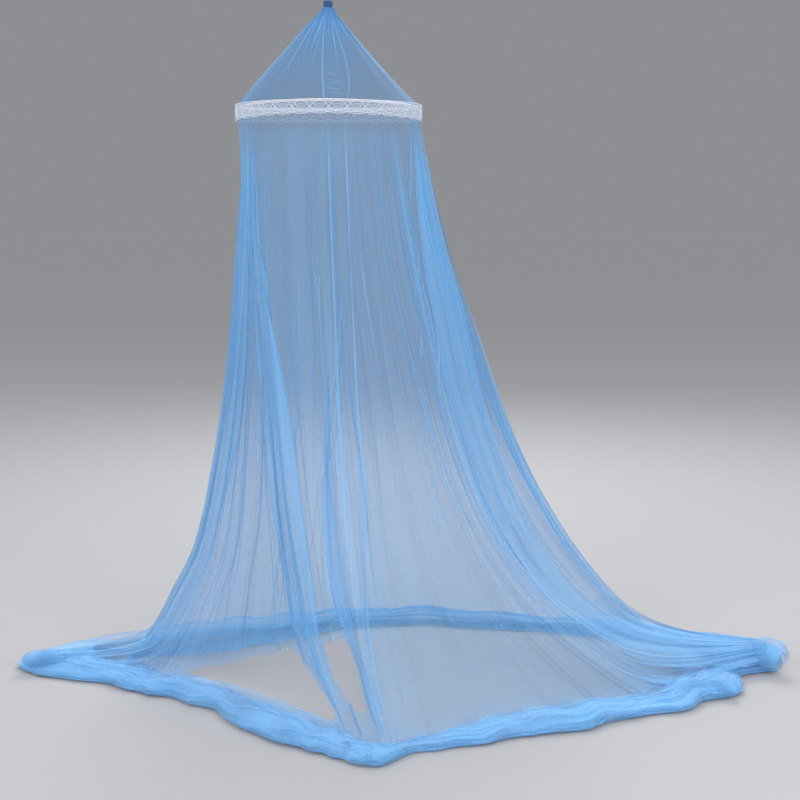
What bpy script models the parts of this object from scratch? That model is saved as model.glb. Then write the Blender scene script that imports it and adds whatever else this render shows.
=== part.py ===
"""Bed net canopy: a pleated crown, a hoop with a lace band, and a long skirt pooled on the floor.

The origin is the hanging point on top of the crown binding. Heights in the tables are above the floor.
"""
import math

import bmesh
import bpy
import numpy as np
from mathutils import Matrix

# overall heights
HANG_HEIGHT = 2.19
HOOP_HEIGHT = 1.855
HOOP_SADDLE = 0.005

# crown binding, an inverted cup of tape
BINDING_RADIUS = 0.015
BINDING_TALL = 0.018
BINDING_WALL = 0.002
BINDING_EDGE = 0.0012

# crown net
NET_THICKNESS = 0.002
NET_RADIUS = 0.300
CROWN_PLEATS = 16
CROWN_COLUMNS = 64
CROWN_ROWS = (
    # name, radius, below the hanging point, pleat depth
    ("neck_top", 0.0105, 0.0050, 0.0004),
    ("neck_low", 0.0110, 0.0185, 0.0006),
    ("shoulder", 0.0685, 0.0800, 0.0030),
    ("middle", 0.1530, 0.1700, 0.0045),
    ("low", 0.2355, 0.2580, 0.0035),
    ("rim", 0.3000, 0.3290, 0.0008),
)

# hoop
HOOP_RADIUS = 0.292
HOOP_WIRE = 0.004

# lace band
LACE_RADIUS = 0.3065
LACE_THICKNESS = 0.0015
LACE_ABOVE = 0.009
LACE_BELOW = 0.040
SCALLOPS = 30
SCALLOP_DROP = 0.005
LACE_COLUMNS = 120
LACE_WAVES = 7
LACE_WAVE = 0.0005

# skirt
SKIRT_TOP = 1.850
FOOT_HEIGHT = 0.016
FLOOR_LIFT = 0.0014
UPPER_POWER = 1.7
LOWER_POWER = 8.0
COLUMNS_PER_FOLD = 4
FREE_HEIGHT = 1.79
FOLD_AT_TOP = 0.0008
FOLD_LIMIT = 0.030
FOLD_AT_FOOT = 0.009
SETTLE_HEIGHT = 0.45
HEM_PUCKER = 0.0025
WALL_HEIGHTS = (1.850, 1.790, 1.550, 1.280, 1.020, 0.780, 0.560, 0.380)
WALL_EASE = (
    # height, further out on the left of the hoop, further out on its right
    (1.850, 0.000, 0.000),
    (1.690, -0.017, 0.000),
    (1.590, -0.022, -0.002),
    (1.500, -0.018, 0.000),
    (1.380, -0.014, 0.003),
    (1.200, -0.012, 0.012),
    (1.050, -0.011, 0.010),
    (0.920, -0.008, 0.001),
    (0.800, -0.006, -0.010),
    (0.620, 0.000, -0.021),
    (0.380, 0.002, -0.027),
    (0.250, 0.018, -0.025),
    (0.120, 0.010, -0.010),
    (0.016, 0.000, 0.000),
)
GAPS = (
    # name, first and last place, counted in rows of FOLDS
    ("left_gap", 3.00, 7.25),
    ("right_gap", 8.50, 9.50),
)
HEM_ROWS = (
    # name, share of the way out from foot to edge, share of the hem's height
    ("floor_middle", 0.50, 0.00),
    ("floor_end", 0.93, 0.02),
    ("outer_fold", 1.00, 0.36),
    ("inner_low", 0.36, 0.46),
    ("inner_high", 0.31, 0.80),
    ("crest", 0.58, 1.06),
    ("free_edge", 0.95, 0.72),
)
FOLDS = (
    # name, hoop degrees, foot x, foot y, edge x, edge y, lean, fold depth, hem in, hem out, gap top
    ("left_tip", -178.0, -0.680, -0.130, -1.045, -0.150, 0.50, 0.08, 0.095, 0.025, 0.100),
    ("left_fore", -160.0, -0.660, -0.180, -0.880, -0.300, 0.46, 0.16, 0.075, 0.030, 0.090),
    ("left_low", -147.0, -0.590, -0.240, -0.690, -0.380, 0.42, 0.18, 0.055, 0.035, 0.045),
    ("gap_start", -144.5, -0.470, -0.290, -0.550, -0.440, 0.44, 0.12, 0.040, 0.035, 0.036),
    ("gap_wide", -142.5, -0.330, -0.370, -0.400, -0.560, 0.47, 0.12, 0.035, 0.035, 0.092),
    ("gap_middle", -141.0, -0.190, -0.480, -0.250, -0.710, 0.50, 0.12, 0.035, 0.035, 0.134),
    ("gap_end", -139.5, -0.070, -0.600, -0.110, -0.830, 0.53, 0.12, 0.035, 0.035, 0.170),
    ("entry_left", -138.0, 0.030, -0.700, -0.020, -0.895, 0.55, 0.20, 0.035, 0.035, 0.130),
    ("entry_right", -132.0, 0.080, -0.755, 0.045, -0.930, 0.58, 0.20, 0.035, 0.035, 0.150),
    ("entry_side", -112.0, 0.135, -0.815, 0.110, -0.960, 0.66, 0.14, 0.035, 0.035, 0.246),
    ("fore_point", -92.0, 0.190, -0.865, 0.175, -0.990, 0.78, 0.20, 0.035, 0.035, 0.130),
    ("fore_right", -82.0, 0.300, -0.800, 0.330, -0.905, 0.80, 0.16, 0.035, 0.035, 0.100),
    ("front_1", -74.0, 0.430, -0.700, 0.480, -0.840, 0.78, 0.14, 0.035, 0.035, 0.100),
    ("front_2", -67.0, 0.570, -0.610, 0.620, -0.780, 0.74, 0.14, 0.035, 0.035, 0.100),
    ("front_3", -61.0, 0.720, -0.545, 0.780, -0.730, 0.70, 0.14, 0.035, 0.035, 0.100),
    ("front_4", -56.0, 0.870, -0.500, 0.940, -0.640, 0.65, 0.16, 0.040, 0.035, 0.100),
    ("front_5", -51.0, 1.000, -0.450, 1.100, -0.580, 0.60, 0.16, 0.050, 0.040, 0.100),
    ("right_fore", -44.0, 1.100, -0.360, 1.280, -0.450, 0.57, 0.20, 0.070, 0.045, 0.100),
    ("right_low", -20.0, 1.170, -0.210, 1.450, -0.250, 0.62, 0.20, 0.085, 0.055, 0.100),
    ("right_tip", -1.0, 1.190, -0.090, 1.555, -0.090, 0.85, 0.18, 0.090, 0.065, 0.100),
    ("right_back", 14.0, 1.100, 0.030, 1.420, 0.040, 0.90, 0.18, 0.080, 0.060, 0.100),
    ("back_1", 26.0, 0.940, 0.110, 1.150, 0.160, 0.88, 0.16, 0.065, 0.050, 0.100),
    ("back_2", 40.0, 0.750, 0.180, 0.860, 0.270, 0.86, 0.14, 0.050, 0.045, 0.100),
    ("back_3", 56.0, 0.530, 0.220, 0.590, 0.320, 0.84, 0.14, 0.045, 0.045, 0.100),
    ("back_4", 73.0, 0.350, 0.265, 0.370, 0.365, 0.82, 0.16, 0.045, 0.045, 0.100),
    ("back_5", 90.0, 0.170, 0.250, 0.160, 0.360, 0.80, 0.14, 0.045, 0.045, 0.100),
    ("back_6", 107.0, 0.020, 0.215, -0.030, 0.335, 0.76, 0.14, 0.045, 0.045, 0.100),
    ("back_7", 123.0, -0.130, 0.095, -0.210, 0.300, 0.72, 0.14, 0.050, 0.045, 0.100),
    ("back_8", 138.0, -0.270, 0.005, -0.380, 0.260, 0.66, 0.14, 0.055, 0.040, 0.100),
    ("back_9", 152.0, -0.420, -0.075, -0.560, 0.200, 0.58, 0.16, 0.065, 0.035, 0.100),
    ("left_back", 167.0, -0.580, -0.110, -0.830, 0.050, 0.52, 0.16, 0.080, 0.030, 0.100),
)
COLUMN = {
    "hoop": 1, "foot_x": 2, "foot_y": 3, "edge_x": 4, "edge_y": 5,
    "lean": 6, "fold": 7, "hem_in": 8, "hem_out": 9, "gap_top": 10,
}

# colours, linear
TAPE_BLUE = (0.045, 0.110, 0.290)
SKY_NET = (0.175, 0.430, 0.800)
LACE_WHITE = (0.800, 0.850, 0.920)
HOOP_WHITE = (0.780, 0.790, 0.800)


def material(name, colour, roughness, metallic=0.0):
    made = bpy.data.materials.new(name)
    made.use_nodes = True
    shader = made.node_tree.nodes["Principled BSDF"]
    shader.inputs["Base Color"].default_value = (*colour, 1.0)
    shader.inputs["Roughness"].default_value = roughness
    shader.inputs["Metallic"].default_value = metallic
    made.diffuse_color = (*colour, 1.0)
    made.roughness = roughness
    made.metallic = metallic
    return made


def add_object(name, mesh, collection, made):
    obj = bpy.data.objects.new(name, mesh)
    collection.objects.link(obj)
    if made is not None:
        mesh.materials.append(made)
    return obj


def grid_mesh(name, points, closed_round, is_open=None):
    """Quads between the rows and columns of a (rows, columns, 3) array, leaving out the open ones."""
    rows, columns = points.shape[:2]
    last = columns if closed_round else columns - 1
    faces = []
    for row in range(rows - 1):
        for column in range(last):
            if is_open is not None and is_open(row, column):
                continue
            after = (column + 1) % columns
            faces.append((
                row * columns + column,
                (row + 1) * columns + column,
                (row + 1) * columns + after,
                row * columns + after,
            ))
    mesh = bpy.data.meshes.new(name)
    mesh.from_pydata([tuple(p) for p in points.reshape(-1, 3).tolist()], [], faces)
    work = bmesh.new()
    work.from_mesh(mesh)
    loose = [v for v in work.verts if not v.link_faces]
    bmesh.ops.delete(work, geom=loose, context="VERTS")
    work.to_mesh(mesh)
    work.free()
    mesh.polygons.foreach_set("use_smooth", [True] * len(mesh.polygons))
    mesh.update()
    return mesh


def thicken(obj, thickness):
    solid = obj.modifiers.new("thickness", "SOLIDIFY")
    solid.thickness = thickness
    solid.offset = 0.0
    solid.use_rim = True


def saddle(angle):
    """How far the hoop line stands above its mean height, being bent up at the front and the back."""
    return -HOOP_SADDLE * math.cos(2.0 * angle)


# skirt surface

def fold_value(u, column):
    """A column of FOLDS at the fold position u, joined smoothly all round."""
    count = len(FOLDS)
    index = math.floor(u)
    part = u - index
    key = COLUMN[column]
    values = []
    for step in (-1, 0, 1, 2):
        place = index + step
        turns = place // count
        value = FOLDS[place % count][key]
        values.append(value + 360.0 * turns if column == "hoop" else value)
    before, first, second, later = values
    return 0.5 * (
        2.0 * first
        + (second - before) * part
        + (2.0 * before - 5.0 * first + 4.0 * second - later) * part ** 2
        + (3.0 * first - before - 3.0 * second + later) * part ** 3
    )


def eased(height, angle):
    """How far along X the wall stands off its plain lean at a height, on the hoop's left or right."""
    levels = [-row[0] for row in WALL_EASE]
    left = float(np.interp(-height, levels, [row[1] for row in WALL_EASE]))
    right = float(np.interp(-height, levels, [row[2] for row in WALL_EASE]))
    across = math.cos(angle)
    return right * max(across, 0.0) ** 2 - left * max(-across, 0.0) ** 2


def smooth_wall(u, height):
    """Plan position of the skirt's wall at a height, without its folds."""
    angle = math.radians(fold_value(u, "hoop"))
    fallen = min(max((SKIRT_TOP - height) / (SKIRT_TOP - FOOT_HEIGHT), 0.0), 1.0)
    lean = fold_value(u, "lean")
    spread = lean * fallen ** UPPER_POWER + (1.0 - lean) * fallen ** LOWER_POWER
    top = np.array((NET_RADIUS * math.cos(angle), NET_RADIUS * math.sin(angle)))
    foot = np.array((fold_value(u, "foot_x"), fold_value(u, "foot_y")))
    return top + (foot - top) * spread + np.array((eased(height, angle), 0.0))


def folded_wall(u, height):
    """A wall point with its fold: out at each row of FOLDS and in between two rows."""
    here = smooth_wall(u, height)
    pitch = smooth_wall(u + 0.5, height) - smooth_wall(u - 0.5, height)
    width = float(np.linalg.norm(pitch))
    outward = np.array((pitch[1], -pitch[0])) / width
    settled = max(1.0 - height / SETTLE_HEIGHT, 0.0)
    limit = FOLD_LIMIT + (FOLD_AT_FOOT - FOLD_LIMIT) * settled
    depth = min(fold_value(u, "fold") * width, limit)
    if height >= FREE_HEIGHT:
        depth = min(depth, FOLD_AT_TOP * (1.0 + (SKIRT_TOP - height) / (SKIRT_TOP - FREE_HEIGHT)))
    here = here + outward * depth * math.cos(2.0 * math.pi * u)
    rise = saddle(math.radians(fold_value(u, "hoop"))) * max(height / SKIRT_TOP, 0.0) ** 2
    return (here[0], here[1], height + rise - HANG_HEIGHT)


def hem_point(u, out_share, up_share):
    """A point of the bunched hem between the wall's foot and the outer edge."""
    foot = np.array((fold_value(u, "foot_x"), fold_value(u, "foot_y")))
    edge = np.array((fold_value(u, "edge_x"), fold_value(u, "edge_y")))
    swing = math.cos(2.0 * math.pi * u)
    out = edge - foot
    along = out / np.linalg.norm(out)
    pitch = smooth_wall(u + 0.5, FOOT_HEIGHT) - smooth_wall(u - 0.5, FOOT_HEIGHT)
    depth = min(fold_value(u, "fold") * float(np.linalg.norm(pitch)), FOLD_AT_FOOT)
    here = foot + out * out_share + along * depth * swing * (1.0 - 0.4 * out_share)
    tall = fold_value(u, "hem_in") * (1.0 - out_share) + fold_value(u, "hem_out") * out_share
    tall = tall + min(HEM_PUCKER, 0.15 * tall) * swing
    return (here[0], here[1], FLOOR_LIFT + tall * up_share - HANG_HEIGHT)


def skirt_points():
    columns = len(FOLDS) * COLUMNS_PER_FOLD
    places = [column / COLUMNS_PER_FOLD for column in range(columns)]
    rows = []
    for height in WALL_HEIGHTS:
        rows.append([folded_wall(u, height) for u in places])
    gap_tops = [fold_value(u, "gap_top") for u in places]
    last = WALL_HEIGHTS[-1]
    rows.append([folded_wall(u, 0.5 * (last + top)) for u, top in zip(places, gap_tops)])
    rows.append([folded_wall(u, top) for u, top in zip(places, gap_tops)])
    rows.append([folded_wall(u, 0.5 * (top + FOOT_HEIGHT)) for u, top in zip(places, gap_tops)])
    rows.append([folded_wall(u, FOOT_HEIGHT) for u in places])
    for _, out_share, up_share in HEM_ROWS:
        rows.append([hem_point(u, out_share, up_share) for u in places])
    return np.array(rows)


def in_gap(row, column):
    """True for the quads left out to open the two low gaps beside the entry strip."""
    first_row = len(WALL_HEIGHTS) + 1
    if not first_row <= row <= first_row + 1:
        return False
    place = column / COLUMNS_PER_FOLD
    return any(start <= place < end for _, start, end in GAPS)


def build_skirt(collection):
    mesh = grid_mesh("skirt_net", skirt_points(), True, in_gap)
    made = material("skirt_net_blue", SKY_NET, 0.85)
    thicken(add_object("skirt_net", mesh, collection, made), NET_THICKNESS)


def build_crown(collection):
    rows = []
    for name, radius, below, depth in CROWN_ROWS:
        row = []
        for column in range(CROWN_COLUMNS):
            angle = 2.0 * math.pi * column / CROWN_COLUMNS
            swing = depth * math.cos(CROWN_PLEATS * angle)
            lift = saddle(angle) * (radius / NET_RADIUS) ** 2
            reach = radius + swing
            row.append((reach * math.cos(angle), reach * math.sin(angle), lift - below))
        rows.append(row)
    mesh = grid_mesh("crown_net", np.array(rows), True)
    made = material("crown_net_blue", SKY_NET, 0.85)
    thicken(add_object("crown_net", mesh, collection, made), NET_THICKNESS)


def build_lace(collection):
    top, middle, low = [], [], []
    for column in range(LACE_COLUMNS):
        angle = 2.0 * math.pi * column / LACE_COLUMNS
        reach = LACE_RADIUS + LACE_WAVE * math.sin(LACE_WAVES * angle)
        x = reach * math.cos(angle)
        y = reach * math.sin(angle)
        base = HOOP_HEIGHT - HANG_HEIGHT + saddle(angle)
        scallop = SCALLOP_DROP * abs(math.sin(0.5 * SCALLOPS * angle))
        top.append((x, y, base + LACE_ABOVE))
        middle.append((x, y, base + 0.5 * (LACE_ABOVE - LACE_BELOW)))
        low.append((x, y, base - LACE_BELOW - scallop))
    mesh = grid_mesh("lace_band", np.array((top, middle, low)), True)
    made = material("lace_white", LACE_WHITE, 0.80)
    thicken(add_object("lace_band", mesh, collection, made), LACE_THICKNESS)


def build_hoop(collection):
    bpy.ops.mesh.primitive_torus_add(
        major_radius=HOOP_RADIUS, minor_radius=HOOP_WIRE, major_segments=96, minor_segments=10,
    )
    hoop = bpy.context.object
    hoop.name = "hoop"
    hoop.data.name = "hoop"
    for vertex in hoop.data.vertices:
        vertex.co.z += saddle(math.atan2(vertex.co.y, vertex.co.x))
    hoop.location = (0.0, 0.0, HOOP_HEIGHT - HANG_HEIGHT)
    hoop.data.polygons.foreach_set("use_smooth", [True] * len(hoop.data.polygons))
    hoop.data.materials.append(material("hoop_white", HOOP_WHITE, 0.45))
    move_to(hoop, collection)


def move_to(obj, collection):
    for owner in list(obj.users_collection):
        owner.objects.unlink(obj)
    collection.objects.link(obj)


def cylinder_mesh(name, radius, low, high, sides):
    mesh = bpy.data.meshes.new(name)
    work = bmesh.new()
    bmesh.ops.create_cone(
        work, cap_ends=True, segments=sides, radius1=radius, radius2=radius, depth=high - low,
        matrix=Matrix.Translation((0.0, 0.0, 0.5 * (low + high))),
    )
    work.to_mesh(mesh)
    work.free()
    return mesh


def build_binding(collection, cutters):
    outer = cylinder_mesh("crown_binding", BINDING_RADIUS, -BINDING_TALL, 0.0, 40)
    binding = add_object("crown_binding", outer, collection, material("tape_blue", TAPE_BLUE, 0.75))
    edge = binding.modifiers.new("soft_edge", "BEVEL")
    edge.width = BINDING_EDGE
    edge.segments = 3
    edge.limit_method = "ANGLE"
    inside = cylinder_mesh(
        "binding_hollow", BINDING_RADIUS - BINDING_WALL, -BINDING_TALL - 0.01, -BINDING_WALL, 40,
    )
    cutter = add_object("binding_hollow", inside, cutters, None)
    cutter.hide_render = True
    cutter.display_type = "WIRE"
    cut = binding.modifiers.new("hollow", "BOOLEAN")
    cut.operation = "DIFFERENCE"
    cut.solver = "EXACT"
    cut.object = cutter
    outer.polygons.foreach_set("use_smooth", [abs(p.normal.z) < 0.5 for p in outer.polygons])


def main():
    for obj in list(bpy.data.objects):
        bpy.data.objects.remove(obj, do_unlink=True)
    collection = bpy.data.collections.new("mosquito_net_canopy")
    bpy.context.scene.collection.children.link(collection)
    cutters = bpy.data.collections.new("cutters")
    bpy.context.scene.collection.children.link(cutters)
    cutters.hide_render = True
    build_binding(collection, cutters)
    build_crown(collection)
    build_hoop(collection)
    build_lace(collection)
    build_skirt(collection)


main()
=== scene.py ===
"""Bed net canopy: pleated crown, lace band and long sheer skirt with a bunched hem, round its frame."""
import math

import bmesh
import bpy
import numpy as np
from bpy.props import FloatProperty, FloatVectorProperty, IntProperty, PointerProperty
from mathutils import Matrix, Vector


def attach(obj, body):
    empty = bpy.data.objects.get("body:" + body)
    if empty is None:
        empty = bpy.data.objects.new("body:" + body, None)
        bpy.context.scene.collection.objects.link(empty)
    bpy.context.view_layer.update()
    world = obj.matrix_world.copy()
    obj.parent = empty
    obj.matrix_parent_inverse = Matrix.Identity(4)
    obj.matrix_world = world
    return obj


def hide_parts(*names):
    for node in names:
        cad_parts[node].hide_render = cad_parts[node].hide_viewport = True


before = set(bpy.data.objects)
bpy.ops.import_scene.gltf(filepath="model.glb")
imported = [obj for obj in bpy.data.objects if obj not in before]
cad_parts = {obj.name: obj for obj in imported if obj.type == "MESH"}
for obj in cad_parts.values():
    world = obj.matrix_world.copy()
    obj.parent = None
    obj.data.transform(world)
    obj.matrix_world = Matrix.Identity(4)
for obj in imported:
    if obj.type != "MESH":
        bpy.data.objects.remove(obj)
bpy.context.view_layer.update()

bl_info = {
    "name": "Bed net canopy",
    "version": (1, 0, 0),
    "blender": (4, 5, 0),
    "location": "3D View > Sidebar > Canopy",
    "description": "Builds a hanging bed net: crown, hoop, lace band, skirt and hem",
    "category": "Object",
}

# sizes in metres and heights above the floor, unless said otherwise; the frame's origin is the hanging point
HANG_HEIGHT = 2.19
HOOP_HEIGHT = 1.855
HOOP_SADDLE = 0.005         # the hoop stands this much higher at front and back, and lower at the sides
NET_RADIUS = 0.300          # of the net where it leaves the hoop
SKIRT_TOP = 1.850
FREE_HEIGHT = 1.79          # from here down the folds open out
FREE_DROP = 0.24            # over this height
FOOT_HEIGHT = 0.016         # where the wall ends, inside the bunched hem
FLOOR_LIFT = 0.0014         # the lowest cloth's height
UPPER_POWER = 1.7           # how the wall's even slope grows on its way down
LOWER_POWER = 8.0           # how its flare near the foot grows
FOLD_AT_TOP = 0.0008        # depth of the main folds at the hoop
FOLD_AT_FOOT = 0.009        # and at the foot
FOLD_LIMIT = 0.030          # and at most
SETTLE_HEIGHT = 0.45        # below it the folds flatten towards the foot
THIN_LAYERS = 0.30          # share of the net's layers left behind the lace
THIN_FRONT = 0.034          # how much further down the net stays that thin at the front

# flat lengths of net, which set the scale of its streaks
SKIRT_ROUND = 6.4
HEM_DEEP = 0.36
TAIL_LONG = 0.45
CROWN_ROUND = 1.9
CROWN_DEEP = 0.44
LACE_ROUND = 1.926
LACE_DEEP = 0.05

# seeds of what is uneven, and the range of a random start in a wave
WALL_SEED = 11
FINE_PLEAT_SEED = 7
STRAND_SEED = 100
BAND_SEED = 150
FINE_SEED = 200
ROPE_SEED = 17
TAIL_LINE_SEED = 71
CREASE_SEED = 5
FULL_TURN = 6.28

FOLDS = (
    # name, hoop degrees, foot x, foot y, edge x, edge y, lean, fold depth, hem in, hem out
    ("left_tip", -178.0, -0.680, -0.130, -1.045, -0.150, 0.50, 0.08, 0.095, 0.025),
    ("left_fore", -160.0, -0.660, -0.180, -0.880, -0.300, 0.46, 0.16, 0.075, 0.030),
    ("left_low", -147.0, -0.590, -0.240, -0.690, -0.380, 0.42, 0.18, 0.055, 0.035),
    ("gap_start", -144.5, -0.470, -0.290, -0.550, -0.440, 0.44, 0.12, 0.040, 0.035),
    ("gap_wide", -142.5, -0.330, -0.370, -0.400, -0.560, 0.47, 0.12, 0.035, 0.035),
    ("gap_middle", -141.0, -0.190, -0.480, -0.250, -0.710, 0.50, 0.12, 0.035, 0.035),
    ("gap_end", -139.5, -0.070, -0.600, -0.110, -0.830, 0.53, 0.12, 0.035, 0.035),
    ("entry_left", -138.0, 0.030, -0.700, -0.020, -0.895, 0.55, 0.20, 0.035, 0.035),
    ("entry_right", -132.0, 0.080, -0.755, 0.045, -0.930, 0.58, 0.20, 0.035, 0.035),
    ("entry_side", -112.0, 0.135, -0.815, 0.110, -0.960, 0.66, 0.14, 0.035, 0.035),
    ("fore_point", -92.0, 0.190, -0.865, 0.175, -0.990, 0.78, 0.20, 0.035, 0.035),
    ("fore_right", -82.0, 0.300, -0.800, 0.330, -0.905, 0.80, 0.16, 0.035, 0.035),
    ("front_1", -74.0, 0.430, -0.700, 0.480, -0.840, 0.78, 0.14, 0.035, 0.035),
    ("front_2", -67.0, 0.570, -0.610, 0.620, -0.780, 0.74, 0.14, 0.035, 0.035),
    ("front_3", -61.0, 0.720, -0.545, 0.780, -0.730, 0.70, 0.14, 0.035, 0.035),
    ("front_4", -56.0, 0.870, -0.500, 0.940, -0.640, 0.65, 0.16, 0.040, 0.035),
    ("front_5", -51.0, 1.000, -0.450, 1.100, -0.580, 0.60, 0.16, 0.050, 0.040),
    ("right_fore", -44.0, 1.100, -0.360, 1.280, -0.450, 0.57, 0.20, 0.070, 0.045),
    ("right_low", -20.0, 1.170, -0.210, 1.450, -0.250, 0.62, 0.20, 0.085, 0.055),
    ("right_tip", -1.0, 1.190, -0.090, 1.555, -0.090, 0.85, 0.18, 0.090, 0.065),
    ("right_back", 14.0, 1.100, 0.030, 1.420, 0.040, 0.90, 0.18, 0.080, 0.060),
    ("back_1", 26.0, 0.940, 0.110, 1.150, 0.160, 0.88, 0.16, 0.065, 0.050),
    ("back_2", 40.0, 0.750, 0.180, 0.860, 0.270, 0.86, 0.14, 0.050, 0.045),
    ("back_3", 56.0, 0.530, 0.220, 0.590, 0.320, 0.84, 0.14, 0.045, 0.045),
    ("back_4", 73.0, 0.350, 0.265, 0.370, 0.365, 0.82, 0.16, 0.045, 0.045),
    ("back_5", 90.0, 0.170, 0.250, 0.160, 0.360, 0.80, 0.14, 0.045, 0.045),
    ("back_6", 107.0, 0.020, 0.215, -0.030, 0.335, 0.76, 0.14, 0.045, 0.045),
    ("back_7", 123.0, -0.130, 0.095, -0.210, 0.300, 0.72, 0.14, 0.050, 0.045),
    ("back_8", 138.0, -0.270, 0.005, -0.380, 0.260, 0.66, 0.14, 0.055, 0.040),
    ("back_9", 152.0, -0.420, -0.075, -0.560, 0.200, 0.58, 0.16, 0.065, 0.035),
    ("left_back", 167.0, -0.580, -0.110, -0.830, 0.050, 0.52, 0.16, 0.080, 0.030),
)
FOLD_COUNT = len(FOLDS)
COLUMN = {
    "hoop": 1, "foot_x": 2, "foot_y": 3, "edge_x": 4, "edge_y": 5,
    "lean": 6, "fold": 7, "hem_in": 8, "hem_out": 9,
}
# from differences in outline that a separate measuring script printed
WALL_EASE = (
    # height, further out on the left of the hoop, further out on its right
    (1.850, 0.000, 0.000),
    (1.690, -0.017, 0.000),
    (1.590, -0.022, -0.002),
    (1.500, -0.018, 0.000),
    (1.380, -0.014, 0.003),
    (1.200, -0.012, 0.012),
    (1.050, -0.011, 0.010),
    (0.920, -0.008, 0.001),
    (0.800, -0.006, -0.010),
    (0.620, 0.000, -0.021),
    (0.380, 0.002, -0.027),
    (0.250, 0.018, -0.025),
    (0.120, 0.010, -0.010),
    (0.016, 0.000, 0.000),
)
# traced by a separate measuring script, then thinned out and shifted slightly
GAPS = (
    # name, then rows of place counted in rows of FOLDS, lowest open height and highest open height
    ("left_gap", (
        (3.02, 0.027, 0.031), (3.24, 0.020, 0.044), (3.44, 0.015, 0.050), (3.74, 0.018, 0.060),
        (4.06, 0.020, 0.076), (4.50, 0.013, 0.101), (5.02, 0.017, 0.125), (5.52, 0.013, 0.145),
        (6.00, 0.019, 0.166), (6.21, 0.017, 0.174), (6.40, 0.012, 0.160), (6.60, 0.012, 0.149),
        (7.00, 0.021, 0.146), (7.12, 0.024, 0.134), (7.20, 0.027, 0.095), (7.30, 0.031, 0.074),
        (7.42, 0.036, 0.062), (7.52, 0.043, 0.050),
    )),
    ("right_gap", (
        (8.32, 0.130, 0.205), (8.35, 0.120, 0.216), (8.40, 0.106, 0.219), (8.47, 0.086, 0.222),
        (8.55, 0.079, 0.227), (8.75, 0.082, 0.236), (8.97, 0.086, 0.245), (9.10, 0.076, 0.251),
        (9.22, 0.071, 0.258), (9.28, 0.072, 0.248), (9.34, 0.082, 0.225), (9.40, 0.100, 0.180),
    )),
)
WHOLE_LOW = 0.030           # these two heights stand in for a gap's edges where the wall has none
WHOLE_HIGH = 0.100
GAP_REACH = 0.8             # rows of FOLDS over which the mesh settles back beside a gap
UPPER_ROWS = 56             # mesh rows of the wall above its gaps
GAP_ROWS = 8                # over them
FOOT_ROWS = 5               # and below them
STRAND_TOP = 1.838
STRAND_FOOT = 0.03
STRAND_STEP = 0.006         # width of one mesh column in a pleat line
STRAND_RIPPLE = 0.0011      # height of the ripples in a pleat line
STRAND_LIFT = 0.0056        # how far marked pleat lines stand off the wall
BAND_LIFT = 0.0035          # and bands
FINE_LIFT = 0.0045          # and fine pleat lines
PLEAT_DRIFT = 0.16          # how far the wall's fine pleats wander, in rows of FOLDS
PLEAT_STAND = 0.0055        # the most that they stand out
STRAND_HEIGHTS = (1.83, 1.55, 1.25, 0.95, 0.75, 0.55, 0.35, 0.20, 0.10, 0.03)
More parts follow.
